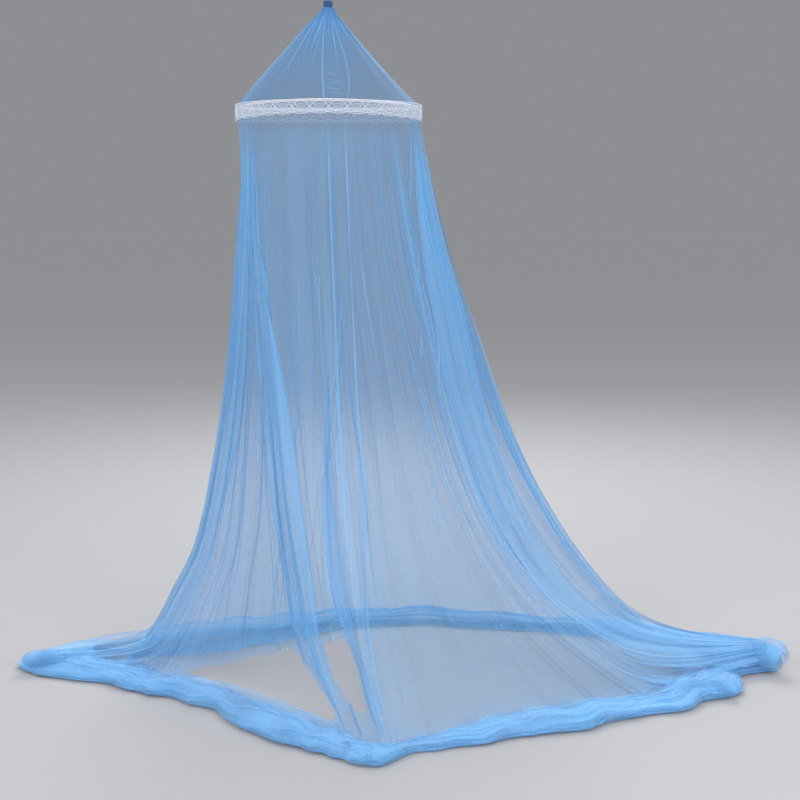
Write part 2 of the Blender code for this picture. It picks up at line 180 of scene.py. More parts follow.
# most of these places were printed by a separate measuring script, and the rest filled in by hand
PLACE_LINES = {
    # name: place, counted in rows of FOLDS, at each of STRAND_HEIGHTS
    "entry_left": (3, 2.3, 4.3, 5.41, 6.1, 6.28, 6.42, 7.12, 7.27, 7.6),
    "entry_right": (4.6, 5.45, 8, 8.35, 8.42, 8.42, 8.39, 8.25, 8.39, 8.9),
    "left_band_left": (1.1, 1.18, 1.33, 1.4, 1.31, 1.23, 1.23, 1.22, 1.05, 0.3),
    "left_band_right": (2, 2.1, 2.9, 3, 2.35, 2.03, 1.97, 1.96, 1.51, 0.6),
    "centre_left": (10.33, 10.31, 10.24, 10.11, 10.07, 9.99, 9.82, 9.91, 10.01, 10.06),
    "centre_right_inner": (11.46, 11.44, 11.14, 10.84, 10.7, 10.4, 10.1, 10.02, 10.1, 10.15),
    "centre_right": (11.5, 11.48, 11.18, 10.88, 10.81, 10.66, 10.25, 10.12, 10.2, 10.2),
    "bundle_left": (10, 9.95, 9.67, 9.6, 9.39, 9.24, 9.18, 9.49, 9.77, 9.95),
    "bundle_right": (10.2, 10.2, 10.09, 9.71, 9.52, 9.51, 9.54, 9.98, 10.02, 10.09),
    "bundle_first": (9.4, 9.27, 9.66, 9.65, 9.45, 9.3, 9.21, 9.41, 9.79, 10.01),
    "bundle_cross": (10.9, 10.9, 10.66, 9.87, 9.42, 9.31, 9.29, 9.48, 9.89, 10.01),
    "bundle_last": (10.3, 10.3, 10.3, 10.06, 9.75, 9.59, 9.53, 9.9, 9.98, 10.01),
    "third": (12, 11.98, 11.97, 12.23, 12.1, 11.9, 11.3, 10.9, 10.5, 10.2),
    "right_thin": (17.7, 17.61, 16.74, 15, 14.15, 13.64, 12.97, 12.68, 12.45, 12.2),
    "right_lower": (17.6, 17.4, 17.3, 17.1, 16.99, 16.85, 16.65, 16.45, 16.3, 16.5),
    "right_inner": (17.75, 17.7, 17.48, 16.66, 16.79, 16.96, 16.85, 16.89, 17.2, 17.5),
    "right_band_left": (17.8, 17.73, 17.6, 17.5, 17.6, 17.53, 16.91, 17, 17.4, 17.8),
    "right_band_middle": (17.8, 17.78, 17.82, 17.75, 17.79, 17.76, 17.7, 17.75, 18.1, 18.6),
    "right_band_right": (18.85, 18.82, 18.77, 18.59, 18.54, 18.41, 18.41, 18.07, 18.6, 19.2),
    "right_outer": (19.3, 19.1, 19.01, 18.9, 18.87, 18.83, 18.7, 18.8, 19.2, 19.7),
    "right_sheer": (20, 20.2, 20.2, 20.1, 20.1, 20.08, 20.02, 19.45, 18.9, 18.9),
    "right_far": (21.2, 21.1, 21, 20.9, 20.9, 20.88, 20.82, 20.6, 20.4, 20.2),
    "back_right": (22.4, 22.3, 22.2, 22, 21.89, 21.77, 21.63, 21.45, 21.3, 21.2),
    "back_middle": (25, 25.1, 25.1, 25, 24.89, 24.82, 24.88, 24.95, 25, 25),
    "back_left": (28.4, 28.4, 28.3, 28.1, 28.04, 28.02, 28.08, 28.2, 28.3, 28.4),
}
BANDS = (
    # line of the left edge, line of the right edge, layers, from height, to height
    ("entry_left", "entry_right", 1.7, STRAND_TOP, STRAND_FOOT),
    ("right_band_left", "right_band_right", 1.8, STRAND_TOP, STRAND_FOOT),
    ("left_band_left", "left_band_right", 1.5, STRAND_TOP, STRAND_FOOT),
    ("bundle_left", "bundle_right", 1.9, 1.1, STRAND_FOOT),
    ("centre_right_inner", "centre_right", 0.9, 0.8, STRAND_FOOT),
)
STRANDS = (
    # line, width, layers, from height, to height
    ("entry_left", 0.006, 1.2, STRAND_TOP, STRAND_FOOT),
    ("entry_right", 0.006, 1.8, STRAND_TOP, 0.15),
    ("left_band_left", 0.006, 1.6, STRAND_TOP, STRAND_FOOT),
    ("left_band_right", 0.006, 2.0, STRAND_TOP, STRAND_FOOT),
    ("centre_left", 0.006, 2.6, STRAND_TOP, STRAND_FOOT),
    ("bundle_left", 0.005, 2.0, 1.4, STRAND_FOOT),
    ("bundle_right", 0.005, 1.8, 1.05, STRAND_FOOT),
    ("centre_right", 0.006, 2.4, STRAND_TOP, STRAND_FOOT),
    ("third", 0.005, 1.6, 1.4, 0.55),
    ("right_thin", 0.005, 1.8, STRAND_TOP, 0.5),
    ("right_band_left", 0.007, 2.4, STRAND_TOP, STRAND_FOOT),
    ("right_band_middle", 0.008, 2.0, STRAND_TOP, STRAND_FOOT),
    ("right_band_right", 0.008, 2.4, STRAND_TOP, STRAND_FOOT),
    ("right_inner", 0.006, 2.0, 1.3, STRAND_FOOT),
    ("right_outer", 0.007, 1.5, STRAND_TOP, STRAND_FOOT),
    ("right_far", 0.007, 1.3, 1.7, STRAND_FOOT),
    ("back_left", 0.012, 1.5, STRAND_TOP, STRAND_FOOT),
    ("back_middle", 0.009, 1.4, STRAND_TOP, STRAND_FOOT),
    ("back_right", 0.010, 1.4, STRAND_TOP, STRAND_FOOT),
    ("right_lower", 0.007, 1.7, 0.7, STRAND_FOOT),
    ("bundle_first", 0.005, 1.9, 1.42, STRAND_FOOT),
    ("bundle_cross", 0.005, 1.7, 1.32, STRAND_FOOT),
    ("bundle_last", 0.004, 1.6, 1.08, STRAND_FOOT),
    ("right_sheer", 0.006, 1.2, 1.7, STRAND_FOOT),
)
# places, counted in rows of FOLDS, that the net is gathered towards, and how wide it stays thick there
GATHER_POINTS = (0.0, 2.4, 7.3, 9.9, 16.6, 19.2, 28.4, 31.0)
GATHER_WIDTH = 0.8
# most of these rows were printed by a separate measuring script
EDGE_DETAIL = (
    # place, how much further out the hem's outer edge lies there
    (0.0, 0.000), (0.7, 0.020), (1.0, -0.012), (1.4, -0.021), (1.85, -0.034), (2.3, 0.000), (2.95, 0.007),
    (3.4, -0.016), (3.85, -0.014), (4.35, -0.045), (4.6, -0.019), (5.1, 0.000), (5.65, 0.011),
    (6.65, -0.007), (8.0, 0.000), (9.1, 0.020), (9.85, 0.004), (10.15, -0.009), (10.45, -0.032),
    (10.7, -0.043), (11.15, -0.018), (11.9, -0.006), (12.8, -0.009), (13.45, 0.000), (14.15, 0.002),
    (14.85, -0.011), (15.45, -0.004), (16.2, 0.000), (16.55, -0.020), (16.9, 0.004), (17.15, 0.011),
    (17.45, -0.022), (17.75, -0.075), (17.95, -0.060), (18.15, 0.008), (18.4, -0.010), (19.0, -0.026),
    (19.7, -0.010), (20.4, 0.010), (22.0, 0.000), (31.0, 0.000),
)
HEM_HEIGHTS = (
    # place, share of the hem's height kept there
    (0.0, 1.00), (16.4, 1.00), (17.1, 0.78), (17.6, 0.58), (18.3, 0.56), (18.8, 0.80), (19.3, 0.84),
    (20.0, 0.72), (21.0, 0.68), (22.0, 0.80), (23.0, 1.00), (31.0, 1.00),
)
HEM_FRONT_REACH = 0.009     # how much further out the hem reaches at the front
HEM_COLUMNS = 36            # mesh columns of the hem in one main fold
HEM_LUMP = 0.0036           # the most that lumps on the bunched hem stand up
HEM_SHIFT = 0.002           # how far they shift it outwards
HEM_WAVE = 0.06             # width of fold that the waves along the hem are worked out from
HEM_SWAY = 0.4              # share of that fold's depth that the waves keep
ROPE_LIFT = 0.0022          # how far a rope's edges stand off the hem
ROPE_SWELL = 0.0016         # how much further its middle does
HEM_LAYERS = (
    # place, layers of net in the bunched hem
    (0.0, 2.6), (1.0, 2.4), (4.0, 2.1), (8.0, 2.2), (11.0, 2.4), (15.0, 2.3), (17.5, 2.6), (19.0, 2.8),
    (20.5, 1.6), (22.0, 1.6), (25.0, 1.8), (27.5, 1.4), (28.5, 0.8), (30.2, 0.9), (31.0, 2.6),
)
TAILS = (
    # name, tip x, y and height, half width at the tip, how long the cloth keeps the wall's slope,
    # then (place, height on the wall) rows where the tail leaves the wall
    ("left_tail", (-0.985, -0.170, 0.046), 0.080, 0.55, (
        (27.2, 0.060), (29.0, 0.100), (30.5, 0.130), (31.5, 0.130), (32.5, 0.090), (33.5, 0.040),
        (34.0, 0.024),
    )),
    ("right_tail", (1.450, -0.165, 0.084), 0.085, 1.10, (
        (15.9, 0.045), (16.6, 0.100), (17.5, 0.170), (18.5, 0.220), (19.5, 0.215), (20.5, 0.150),
        (21.3, 0.080),
    )),
)
TAIL_FLOOR = 0.0025         # the tails come down gently to this height
TAIL_SOFTNESS = 0.006       # within this height of it
TAIL_ROWS = 36              # mesh rows of a pleat line that runs on along a tail
TAIL_FINE_LINES = 20        # fine gathered lines on each tail
TAIL_GRID = (150, 60)       # mesh columns and rows of a tail
TAIL_RIDGE = 0.0020         # height of the ridges that run along a tail
TAIL_LINE_LIFT = 0.003      # how far the edges of a tail's gathered lines stand off it
TAIL_LINE_SWELL = 0.0015    # how much further their middles do
TAIL_LINES = (
    # tail, place on the wall, width, layers
    (0, 31.9, 0.014, 1.3), (0, 32.8, 0.012, 1.2), (0, 31.1, 0.010, 1.2), (0, 30.0, 0.008, 1.0),
    (0, 29.2, 0.007, 1.0), (0, 28.4, 0.009, 1.1), (1, 16.3, 0.012, 1.8), (1, 16.9, 0.010, 1.6),
    (1, 17.4, 0.008, 1.4), (1, 18.4, 0.070, 1.5), (1, 19.4, 0.040, 0.7), (1, 20.2, 0.012, 1.4),
    (1, 20.8, 0.010, 1.2),
)
CROWN_ROWS = (
    # radius, below the hanging point, pleat depth
    (0.0105, 0.0050, 0.0004),
    (0.0110, 0.0185, 0.0006),
    (0.0685, 0.0800, 0.0030),
    (0.1530, 0.1700, 0.0045),
    (0.2355, 0.2580, 0.0035),
    (0.3000, 0.3290, 0.0008),
)
CROWN_GRID = (960, 60)      # mesh columns and rows of the crown
CROWN_PLEATS = 16           # broad pleats all round
PLEAT_SHARE = 0.7           # share of the pleat depth in CROWN_ROWS that they have
CROWN_GATHERS = 96.0        # fine gathers round the top
GATHER_DEPTH = 0.0020       # the most that they stand out
FINE_CREASES = 34           # creases besides the marked ones
CROWN_DRAWN_IN = (
    # share of the way down, how far the net on the right is drawn in
    (0.00, 0.000), (0.05, 0.000), (0.12, 0.008), (0.30, 0.014), (0.55, 0.020), (0.80, 0.018),
    (0.93, 0.011), (1.00, 0.001),
)
CREASE_LIFT = 0.0022        # how far creases stand off the crown
LACE_RADIUS = 0.3065        # of the band's outside
LACE_INSET = 0.0020         # the ground and the threads lie this far inside it
LACE_ABOVE = 0.009          # the band's reach above the hoop's line
LACE_BELOW = 0.040          # and below it
SCALLOPS = 33               # all round the band
SCALLOP_DROP = 0.005        # how far the ground's scallops hang below its edge
LACE_WAVE = 0.0005          # how far the ground waves in and out
FRONT_DROP = 0.0053         # how much lower the band lies at the front
FRONT_SQUEEZE = 0.185       # share of its height that it loses there
LACE_GRID = (720, 8)        # mesh columns and rows of the ground
CORD_SIDES = 5              # sides of a lace thread

LACE_SHADE = (0.58, 0.65, 0.80)
THREAD_SHADE = (0.64, 0.70, 0.83)
THREAD_TWIST = 900.0        # cells of its twist to a metre
TAPE_SHADE = (0.02, 0.05, 0.16)
TAPE_TWIST = 700.0          # cells of its weave to a metre
TUBE_SHADE = (0.70, 0.72, 0.74)
TUBE_WHITE = (0.84, 0.85, 0.86)
LIGHT_ABOVE = (1.05, 1.06, 1.08)
FOLDED_DEEP = 0.84          # share of the net's colour kept in the darker streaks of gathered cloth, lighter than the net in shade: painted light on gathered pieces
FLOOR_HALF = 40.0           # from the middle of the floor to its edges
CAMERA_PLACE = (0.2334, -4.683, 1.6 - HANG_HEIGHT)
CAMERA_TILT = 8.726         # degrees below level
LENS_LENGTH = 63.0          # in millimetres
SENSOR_WIDTH = 36.0         # in millimetres
VIEW_END = 200.0            # how far the camera sees
NET_LAYERS_SEEN = 64        # how many sheer surfaces one line of sight may pass
LAMPS = (
    # name, place, point it is turned to, side of the square lamp, watts
    ("key", (-2.8, -4.2, 0.6), (0.1, 0.0, -1.2), 2.6, 108.0),
    ("fill", (3.6, -3.4, 0.2), (0.2, 0.0, -1.3), 2.6, 88.0),
    ("back", (0.6, 3.6, 1.8), (0.2, 0.0, -1.0), 2.4, 150.0),
)


# small sums that many pieces use

def read_off(table, at, column=1):
    """A column of a table at places between its rows, where the first column holds the rows' places."""
    rows = np.array(table)
    return np.interp(at, rows[:, 0], rows[:, column])


def gentle(share):
    """A share from 0 to 1 that leaves 0 and reaches 1 without a kink."""
    return share * share * (3.0 - 2.0 * share)


def unit(vectors):
    """Vectors of the same directions, one metre long."""
    return vectors / np.linalg.norm(vectors, axis=-1)[..., None]


def on_circle(reach, angle, level):
    """Points at a reach from the upright middle line, an angle round it and a level."""
    return np.stack((reach * np.cos(angle), reach * np.sin(angle), level), -1)


def grid_over(places, rows):
    """A grid with the given places on every row, and each row's share of the way down."""
    across = np.broadcast_to(places, (rows, len(places)))
    return across, np.broadcast_to(np.linspace(0.0, 1.0, rows)[:, None], across.shape)


def round_map(columns, length, up):
    """Map of a sheet closed all round: so many metres round it, and up metres along it on each row."""
    up = np.broadcast_to(up, (len(up), columns + 1))
    return np.stack((np.broadcast_to(np.arange(columns + 1) / columns * length, up.shape), up), -1)


def side_steps(wide, step, most):
    """Places from one side of a pleat line to the other, as many as its width calls for."""
    return np.linspace(-0.5, 0.5, int(np.clip(wide / step, 3, most)) + 1)


def curved(before, first, second, later, part):
    """A smooth step from the first value to the second, with their neighbours on both sides."""
    return 0.5 * (
        2.0 * first
        + (second - before) * part
        + (2.0 * before - 5.0 * first + 4.0 * second - later) * part ** 2
        + (3.0 * first - before - 3.0 * second + later) * part ** 3
    )


def spline(column, place):
    """A column of FOLDS at places counted in rows, joined smoothly all round."""
    place = np.asarray(place, float)
    index = np.floor(place).astype(int)
    part = place - index
    values = np.array([row[COLUMN[column]] for row in FOLDS])
    picked = []
    for step in (-1, 0, 1, 2):
        where = index + step
        value = values[where % FOLD_COUNT]
        picked.append(value + 360.0 * (where // FOLD_COUNT) if column == "hoop" else value)
    return curved(*picked, part)


def smooth_wall(place, height):
    """Plan position of the skirt's wall without its folds, with x and y on the last axis."""
    angle = np.radians(spline("hoop", place))
    fallen = np.clip((SKIRT_TOP - height) / (SKIRT_TOP - FOOT_HEIGHT), 0.0, 1.0)
    lean = spline("lean", place)
    spread = lean * fallen ** UPPER_POWER + (1.0 - lean) * fallen ** LOWER_POWER
    top_x, top_y = NET_RADIUS * np.cos(angle), NET_RADIUS * np.sin(angle)
    table = np.array(WALL_EASE)
    left, right = (np.interp(-height, -table[:, 0], table[:, side]) for side in (1, 2))
    across = np.cos(angle)
    eased = right * np.maximum(across, 0.0) ** 2 - left * np.maximum(-across, 0.0) ** 2
    x = top_x + (spline("foot_x", place) - top_x) * spread + eased
    y = top_y + (spline("foot_y", place) - top_y) * spread
    return np.stack((x, y), -1)


def wall_frame(place, height):
    """Folded wall points, the way along the wall, the way out of it, and one fold's width."""
    here = smooth_wall(place, height)
    pitch = smooth_wall(place + 0.5, height) - smooth_wall(place - 0.5, height)
    width = np.linalg.norm(pitch, axis=-1)
    along = pitch / width[..., None]
    outward = np.stack((along[..., 1], -along[..., 0]), -1)
    settled = np.clip(1.0 - height / SETTLE_HEIGHT, 0.0, 1.0)
    limit = FOLD_LIMIT + (FOLD_AT_FOOT - FOLD_LIMIT) * settled
    depth = np.minimum(spline("fold", place) * width, limit)
    near_top = FOLD_AT_TOP * (1.0 + (SKIRT_TOP - height) / (SKIRT_TOP - FREE_HEIGHT))
    freed = np.clip((FREE_HEIGHT - height) / FREE_DROP, 0.0, 1.0)
    depth = np.minimum(depth, near_top) * (1.0 - freed) + depth * freed
    here = here + outward * (depth * np.cos(2.0 * np.pi * place))[..., None]
    rise = saddle(np.radians(spline("hoop", place))) * np.maximum(height / SKIRT_TOP, 0.0) ** 2
    level = height + rise - HANG_HEIGHT + 0.0 * here[..., 0]
    return np.concatenate((here, level[..., None]), -1), flat3(along), flat3(outward), width


def flat3(direction):
    """A plan direction as a level one in space."""
    return np.concatenate((direction, np.zeros_like(direction[..., :1])), -1)


def saddle(angle):
    """How far the hoop line stands above its mean height, being bent up at the front and the back."""
    return -HOOP_SADDLE * np.cos(2.0 * angle)


def smooth_noise(across, down, cells_across, cells_down, seed):
    """Noise from -1 to 1 that repeats after across 1, for down from 0 to 1."""
    dice = np.random.RandomState(seed).uniform(-1.0, 1.0, (cells_across, cells_down + 2))
    grid_x = (across % 1.0) * cells_across
    grid_y = np.clip(down, 0.0, 1.0) * cells_down
    left, low = np.floor(grid_x).astype(int), np.floor(grid_y).astype(int)
    part_x, part_y = gentle(grid_x - left), gentle(grid_y - low)
    left = left % cells_across
    right = (left + 1) % cells_across
    lower = dice[left, low] * (1.0 - part_x) + dice[right, low] * part_x
    upper = dice[left, low + 1] * (1.0 - part_x) + dice[right, low + 1] * part_x
    return lower * (1.0 - part_y) + upper * part_y


# mesh building

def sheet_mesh(name, points, uv, layers, closed_round, open_quads=None):
    """A one-layer sheet from a (rows, columns, 3) array, with its own map in metres and its layers."""
    rows, columns = points.shape[:2]
    last = columns if closed_round else columns - 1
    row, column = np.meshgrid(np.arange(rows - 1), np.arange(last), indexing="ij")
    after = (column + 1) % columns
    quads = np.stack((
        row * columns + column, (row + 1) * columns + column,
        (row + 1) * columns + after, row * columns + after,
    ), -1).reshape(-1, 4)
    corner_uv = np.stack((
        uv[row, column], uv[row + 1, column], uv[row + 1, column + 1], uv[row, column + 1],
    ), -2).reshape(-1, 4, 2)
    if open_quads is not None:
        kept = ~open_quads[:, :last].reshape(-1)
        quads, corner_uv = quads[kept], corner_uv[kept]
    mesh = bpy.data.meshes.new(name)
    mesh.from_pydata(points.reshape(-1, 3).tolist(), [], quads.tolist())
    mesh.uv_layers.new(name="UVMap").data.foreach_set("uv", corner_uv.reshape(-1))
    # the layers set how much of the view a sheet hides and, in the net's material, how much lighter it is
    # painted: painted light
    made = mesh.attributes.new("layers", "FLOAT", "POINT")
    made.data.foreach_set("value", layers.reshape(-1).astype(np.float32))
    mesh.polygons.foreach_set("use_smooth", np.ones(len(quads), bool))
    work = bmesh.new()
    work.from_mesh(mesh)
    bmesh.ops.delete(work, geom=[v for v in work.verts if not v.link_faces], context="VERTS")
    work.to_mesh(mesh)
    work.free()
    mesh.update()
    return mesh


def joined(name, pieces):
    """One mesh from several, keeping their maps and attributes."""
    work = bmesh.new()
    for piece in pieces:
        work.from_mesh(piece)
        bpy.data.meshes.remove(piece)
    mesh = bpy.data.meshes.new(name)
    work.to_mesh(mesh)
    work.free()
    mesh.update()
    return mesh


def placed(name, mesh, *materials):
    """The named object that holds a mesh, at the origin."""
    obj = bpy.data.objects.new(name, mesh)
    bpy.context.scene.collection.objects.link(obj)
    for made in materials:
        mesh.materials.append(made)
    return obj


# shader maths

class Socket:
    """A node's output that adds Math nodes when it is used in an expression."""

    def __init__(self, nodes, socket):
        self.nodes = nodes
        self.socket = socket

    def __add__(self, other):
        return self.nodes.maths("ADD", self, other)

    def __radd__(self, other):
        return self.nodes.maths("ADD", other, self)

    def __sub__(self, other):
        return self.nodes.maths("SUBTRACT", self, other)

    def __rsub__(self, other):
        return self.nodes.maths("SUBTRACT", other, self)

    def __mul__(self, other):
        return self.nodes.maths("MULTIPLY", self, other)

    def __rmul__(self, other):
        return self.nodes.maths("MULTIPLY", other, self)

    def __truediv__(self, other):
        return self.nodes.maths("DIVIDE", self, other)

    def __rtruediv__(self, other):
        return self.nodes.maths("DIVIDE", other, self)

    def __pow__(self, other):
        return self.nodes.maths("POWER", self, other)

    def __rpow__(self, other):
        return self.nodes.maths("POWER", other, self)


class Nodes:
    """A node tree, with one method that adds a node and returns one of its outputs."""

    def __init__(self, tree):
        self.tree = tree

    def node(self, kind, settings, values, output=0):
        node = self.tree.nodes.new(kind)
        for key, value in settings.items():
            setattr(node, key, value)
        for key, value in values.items():
            self.put(node.inputs[key], value)
        return Socket(self, node.outputs[output])

    def put(self, target, value):
        """Links a socket to an input, or sets the input's own value."""
        if isinstance(value, Socket):
            self.tree.links.new(value.socket, target)
        else:
            target.default_value = value

    def maths(self, operation, first, second=0.0):
        return self.node("ShaderNodeMath", {"operation": operation}, {0: first, 1: second})

    def parts(self, vector):
        """The x, y and z of a vector."""
        split = self.node("ShaderNodeSeparateXYZ", {}, {"Vector": vector}).socket.node
        return [Socket(self, part) for part in split.outputs]

    def blend(self, share, first, second):
        """One colour turning into another as the share goes from 0 to 1."""
        return self.node(
            "ShaderNodeMix", {"data_type": "RGBA"},
            {"Factor": share, "A": (*first, 1.0), "B": (*second, 1.0)}, "Result",
        )


class Shade(Nodes):
    """A new material, with the textures that its finish uses."""

    def __init__(self, name):
        self.material = bpy.data.materials.new(name)
        self.material.use_nodes = True
        super().__init__(self.material.node_tree)
        self.surface = self.tree.nodes["Principled BSDF"]

    def set(self, **values):
        for key, value in values.items():
            self.put(self.surface.inputs[key.replace("_", " ")], value)

    def mapped(self):
        return self.node("ShaderNodeUVMap", {"uv_map": "UVMap"}, {})

    def object_place(self):
        return self.node("ShaderNodeTexCoord", {}, {}, "Object")

    # layers of net at each point; the net's material also paints more layers lighter, painted light
    def layers(self):
        return self.node("ShaderNodeAttribute", {"attribute_name": "layers"}, {}, "Fac")

    def noise(self, vector, scale, detail=2.0, rough=0.5):
        values = {"Vector": vector, "Scale": scale, "Detail": detail, "Roughness": rough}
        return self.node("ShaderNodeTexNoise", {}, values)

    def streaks(self, vector, across, along, detail=2.0, rough=0.5):
        """Noise with so many cells to a metre across the cloth and along it."""
        stretched = self.node("ShaderNodeMapping", {}, {"Vector": vector, "Scale": (across, along, 1.0)})
        return self.noise(stretched, 1.0, detail, rough)

    def relief(self, height, strength, distance):
        values = {"Strength": strength, "Distance": distance, "Height": height}
        return self.node("ShaderNodeBump", {}, values, "Normal")

    def clamped(self, value, low, high):
        return self.node("ShaderNodeClamp", {}, {"Value": value, "Min": low, "Max": high})


def net_material(name, colour, shade_and_streak_colour, cover):
    """Sheer dyed net: each layer covers a share of what is behind it. Gathered cloth, with more layers, is
    painted brighter, painted light, and the single net keeps the darker colour, painted shade; streaks and
    clouding vary the tone at random.
    """
    shade = Shade(name)
    uv = shade.mapped()
    streaks = shade.streaks(uv, across=210.0, along=1.6, detail=3.0, rough=0.6)
    fine = shade.streaks(uv, across=620.0, along=9.0)
    cloudy = shade.streaks(uv, across=5.0, along=3.0)
    folded = shade.layers()
    layers = folded * (0.62 + 0.5 * streaks + 0.28 * fine)
    covered = 1.0 - (1.0 - cover) ** layers
    # share of the lighter colour: painted light that grows with the layers of gathered cloth, and random
    # tone from streaks and clouding
    painted_light_and_streaks = shade.clamped(0.75 * (folded - 0.95) + 0.30 * streaks + 0.30 * cloudy - 0.12, 0.0, 1.0)
    shade.set(
        Alpha=shade.clamped(covered, 0.02, 0.99),
        Base_Color=shade.blend(painted_light_and_streaks, shade_and_streak_colour, colour),
        Roughness=0.72 + 0.16 * fine,
        Sheen_Weight=0.25,
        Sheen_Roughness=0.45,
        Specular_IOR_Level=0.18,
        Normal=shade.relief(0.6 * streaks + 0.4 * fine, strength=0.25, distance=0.002),
    )
    return shade.material


def lace_material(name, colour, cover):
    """The lace's thin ground, with fine crossing threads."""
    shade = Shade(name)
    uv = shade.mapped()
    threads = shade.streaks(uv, across=520.0, along=520.0)
    soft = shade.streaks(uv, across=20.0, along=20.0)
    covered = 1.0 - (1.0 - cover) ** (shade.layers() * (0.6 + 0.8 * threads))
    shade.set(
        Alpha=shade.clamped(covered, 0.05, 1.0),
        Base_Color=shade.blend(soft, LACE_SHADE, colour),
        Roughness=0.7 + 0.2 * threads,
        Sheen_Weight=0.2,
        Specular_IOR_Level=0.2,
    )
    return shade.material


def cord_material(name, colour, dark, scale):
    """Spun thread or tape: a fine twist in colour and relief on Object coordinates."""
    shade = Shade(name)
    twist = shade.noise(shade.object_place(), scale, detail=3.0, rough=0.6)
    shade.set(
        Base_Color=shade.blend(twist, dark, colour),
        Roughness=0.65 + 0.25 * twist,
        Sheen_Weight=0.2,
        Specular_IOR_Level=0.2,
        Normal=shade.relief(twist, strength=0.4, distance=0.0006),
    )
    return shade.material


def hoop_material():
    """Smooth white plastic tube with faint clouding and rub marks."""
    shade = Shade("hoop_white_tube")
    place = shade.object_place()
    cloud = shade.noise(place, scale=14.0, detail=3.0, rough=0.6)
    rub = shade.noise(place, scale=260.0)
    shade.set(
        Base_Color=shade.blend(cloud, TUBE_SHADE, TUBE_WHITE),
        Roughness=0.32 + 0.22 * rub,
        Specular_IOR_Level=0.45,
    )
    return shade.material


def floor_material(colours):
    """Plain pale floor, painted darker far behind the net: painted shade for the dimmer light far from the
    lamps.
    """
    shade = Shade("plain_floor")
    _, away, _ = shade.parts(shade.object_place())
    # painted shade: the floor grows darker far behind
    far = shade.node(
        "ShaderNodeMapRange", {"interpolation_type": "SMOOTHSTEP"},
        {"Value": away, "From Min": 0.2, "From Max": 14.0},
    )
    shade.set(
        Base_Color=shade.blend(far ** 0.6, colours.floor, colours.floor_far_shade),
        Roughness=0.9,
        Specular_IOR_Level=0.0,
    )
    return shade.material


# skirt

def gap_edges(places):
    """Lowest and highest open height of the wall at each place, and whether it is open there."""
    low = np.full(len(places), WHOLE_LOW)
    high = np.full(len(places), WHOLE_HIGH)
    is_open = np.zeros(len(places), bool)
    for _, rows in GAPS:
        inside = (places >= rows[0][0]) & (places <= rows[-1][0])
        low[inside] = read_off(rows, places[inside], 1)
        high[inside] = read_off(rows, places[inside], 2)
        is_open |= inside
        for end, step in ((rows[0], -1.0), (rows[-1], 1.0)):
            away = (places - end[0]) * step
            near = (away > 0.0) & (away < GAP_REACH) & ~is_open
            share = gentle(away[near] / GAP_REACH)
            low[near] = end[1] * (1.0 - share) + low[near] * share
            high[near] = end[2] * (1.0 - share) + high[near] * share
    return low, high, is_open


def fine_pleats(place, height, along, outward, width, per_fold, seed):
    """Small soft pleats over the main folds, each of its own depth, opening and closing down the cloth."""
    share = place / FOLD_COUNT
    down = np.clip(1.0 - height / SKIRT_TOP, 0.0, 1.0)
    drift = PLEAT_DRIFT * smooth_noise(share, down, 2 * FOLD_COUNT, 4, seed)
    phase = 2.0 * np.pi * per_fold * (place + drift)
    patch = np.clip(0.5 + 0.9 * smooth_noise(share, down, 18, 4, seed + 2), 0.0, 1.0)
    single = 0.30 + 0.75 * smooth_noise(share, down, FOLD_COUNT * per_fold, 5, seed + 1)
    single = np.clip(single, 0.0, 1.2)
    strength = single * (0.30 + 0.95 * patch) * (0.25 + 0.75 * np.clip(down / 0.45, 0.0, 1.0))
    pitch = width / per_fold
    slide = strength * pitch / (2.0 * np.pi)
    stand = np.minimum(0.26 * pitch, PLEAT_STAND) * (0.35 + strength)
    stand = stand * np.clip((SKIRT_TOP - height) / 0.30, 0.06, 1.0)
    swing = np.sin(phase)
    return along * (swing * slide)[..., None] - outward * (swing * stand)[..., None]


def inside_gap(place, height):
    """True where the wall is open."""
    opened = np.zeros(np.shape(place), bool)
    for _, rows in GAPS:
        within = (place > rows[0][0]) & (place < rows[-1][0])
        opened |= within & (height > read_off(rows, place, 1)) & (height < read_off(rows, place, 2))
    return opened


def wall_heights(low, high):
    """Heights of the wall's rows for every column: hoop to gap top, gap, gap bottom to foot."""
    upper = np.linspace(0.0, 1.0, UPPER_ROWS)[:, None] ** 0.86
    middle, foot = (np.linspace(0.0, 1.0, rows)[1:, None] for rows in (GAP_ROWS, FOOT_ROWS))
    return np.concatenate((
        SKIRT_TOP + (high[None] - SKIRT_TOP) * upper,
        high[None] + (low[None] - high[None]) * middle,
        low[None] + (np.minimum(FOOT_HEIGHT, low[None]) - low[None]) * foot,
    ))


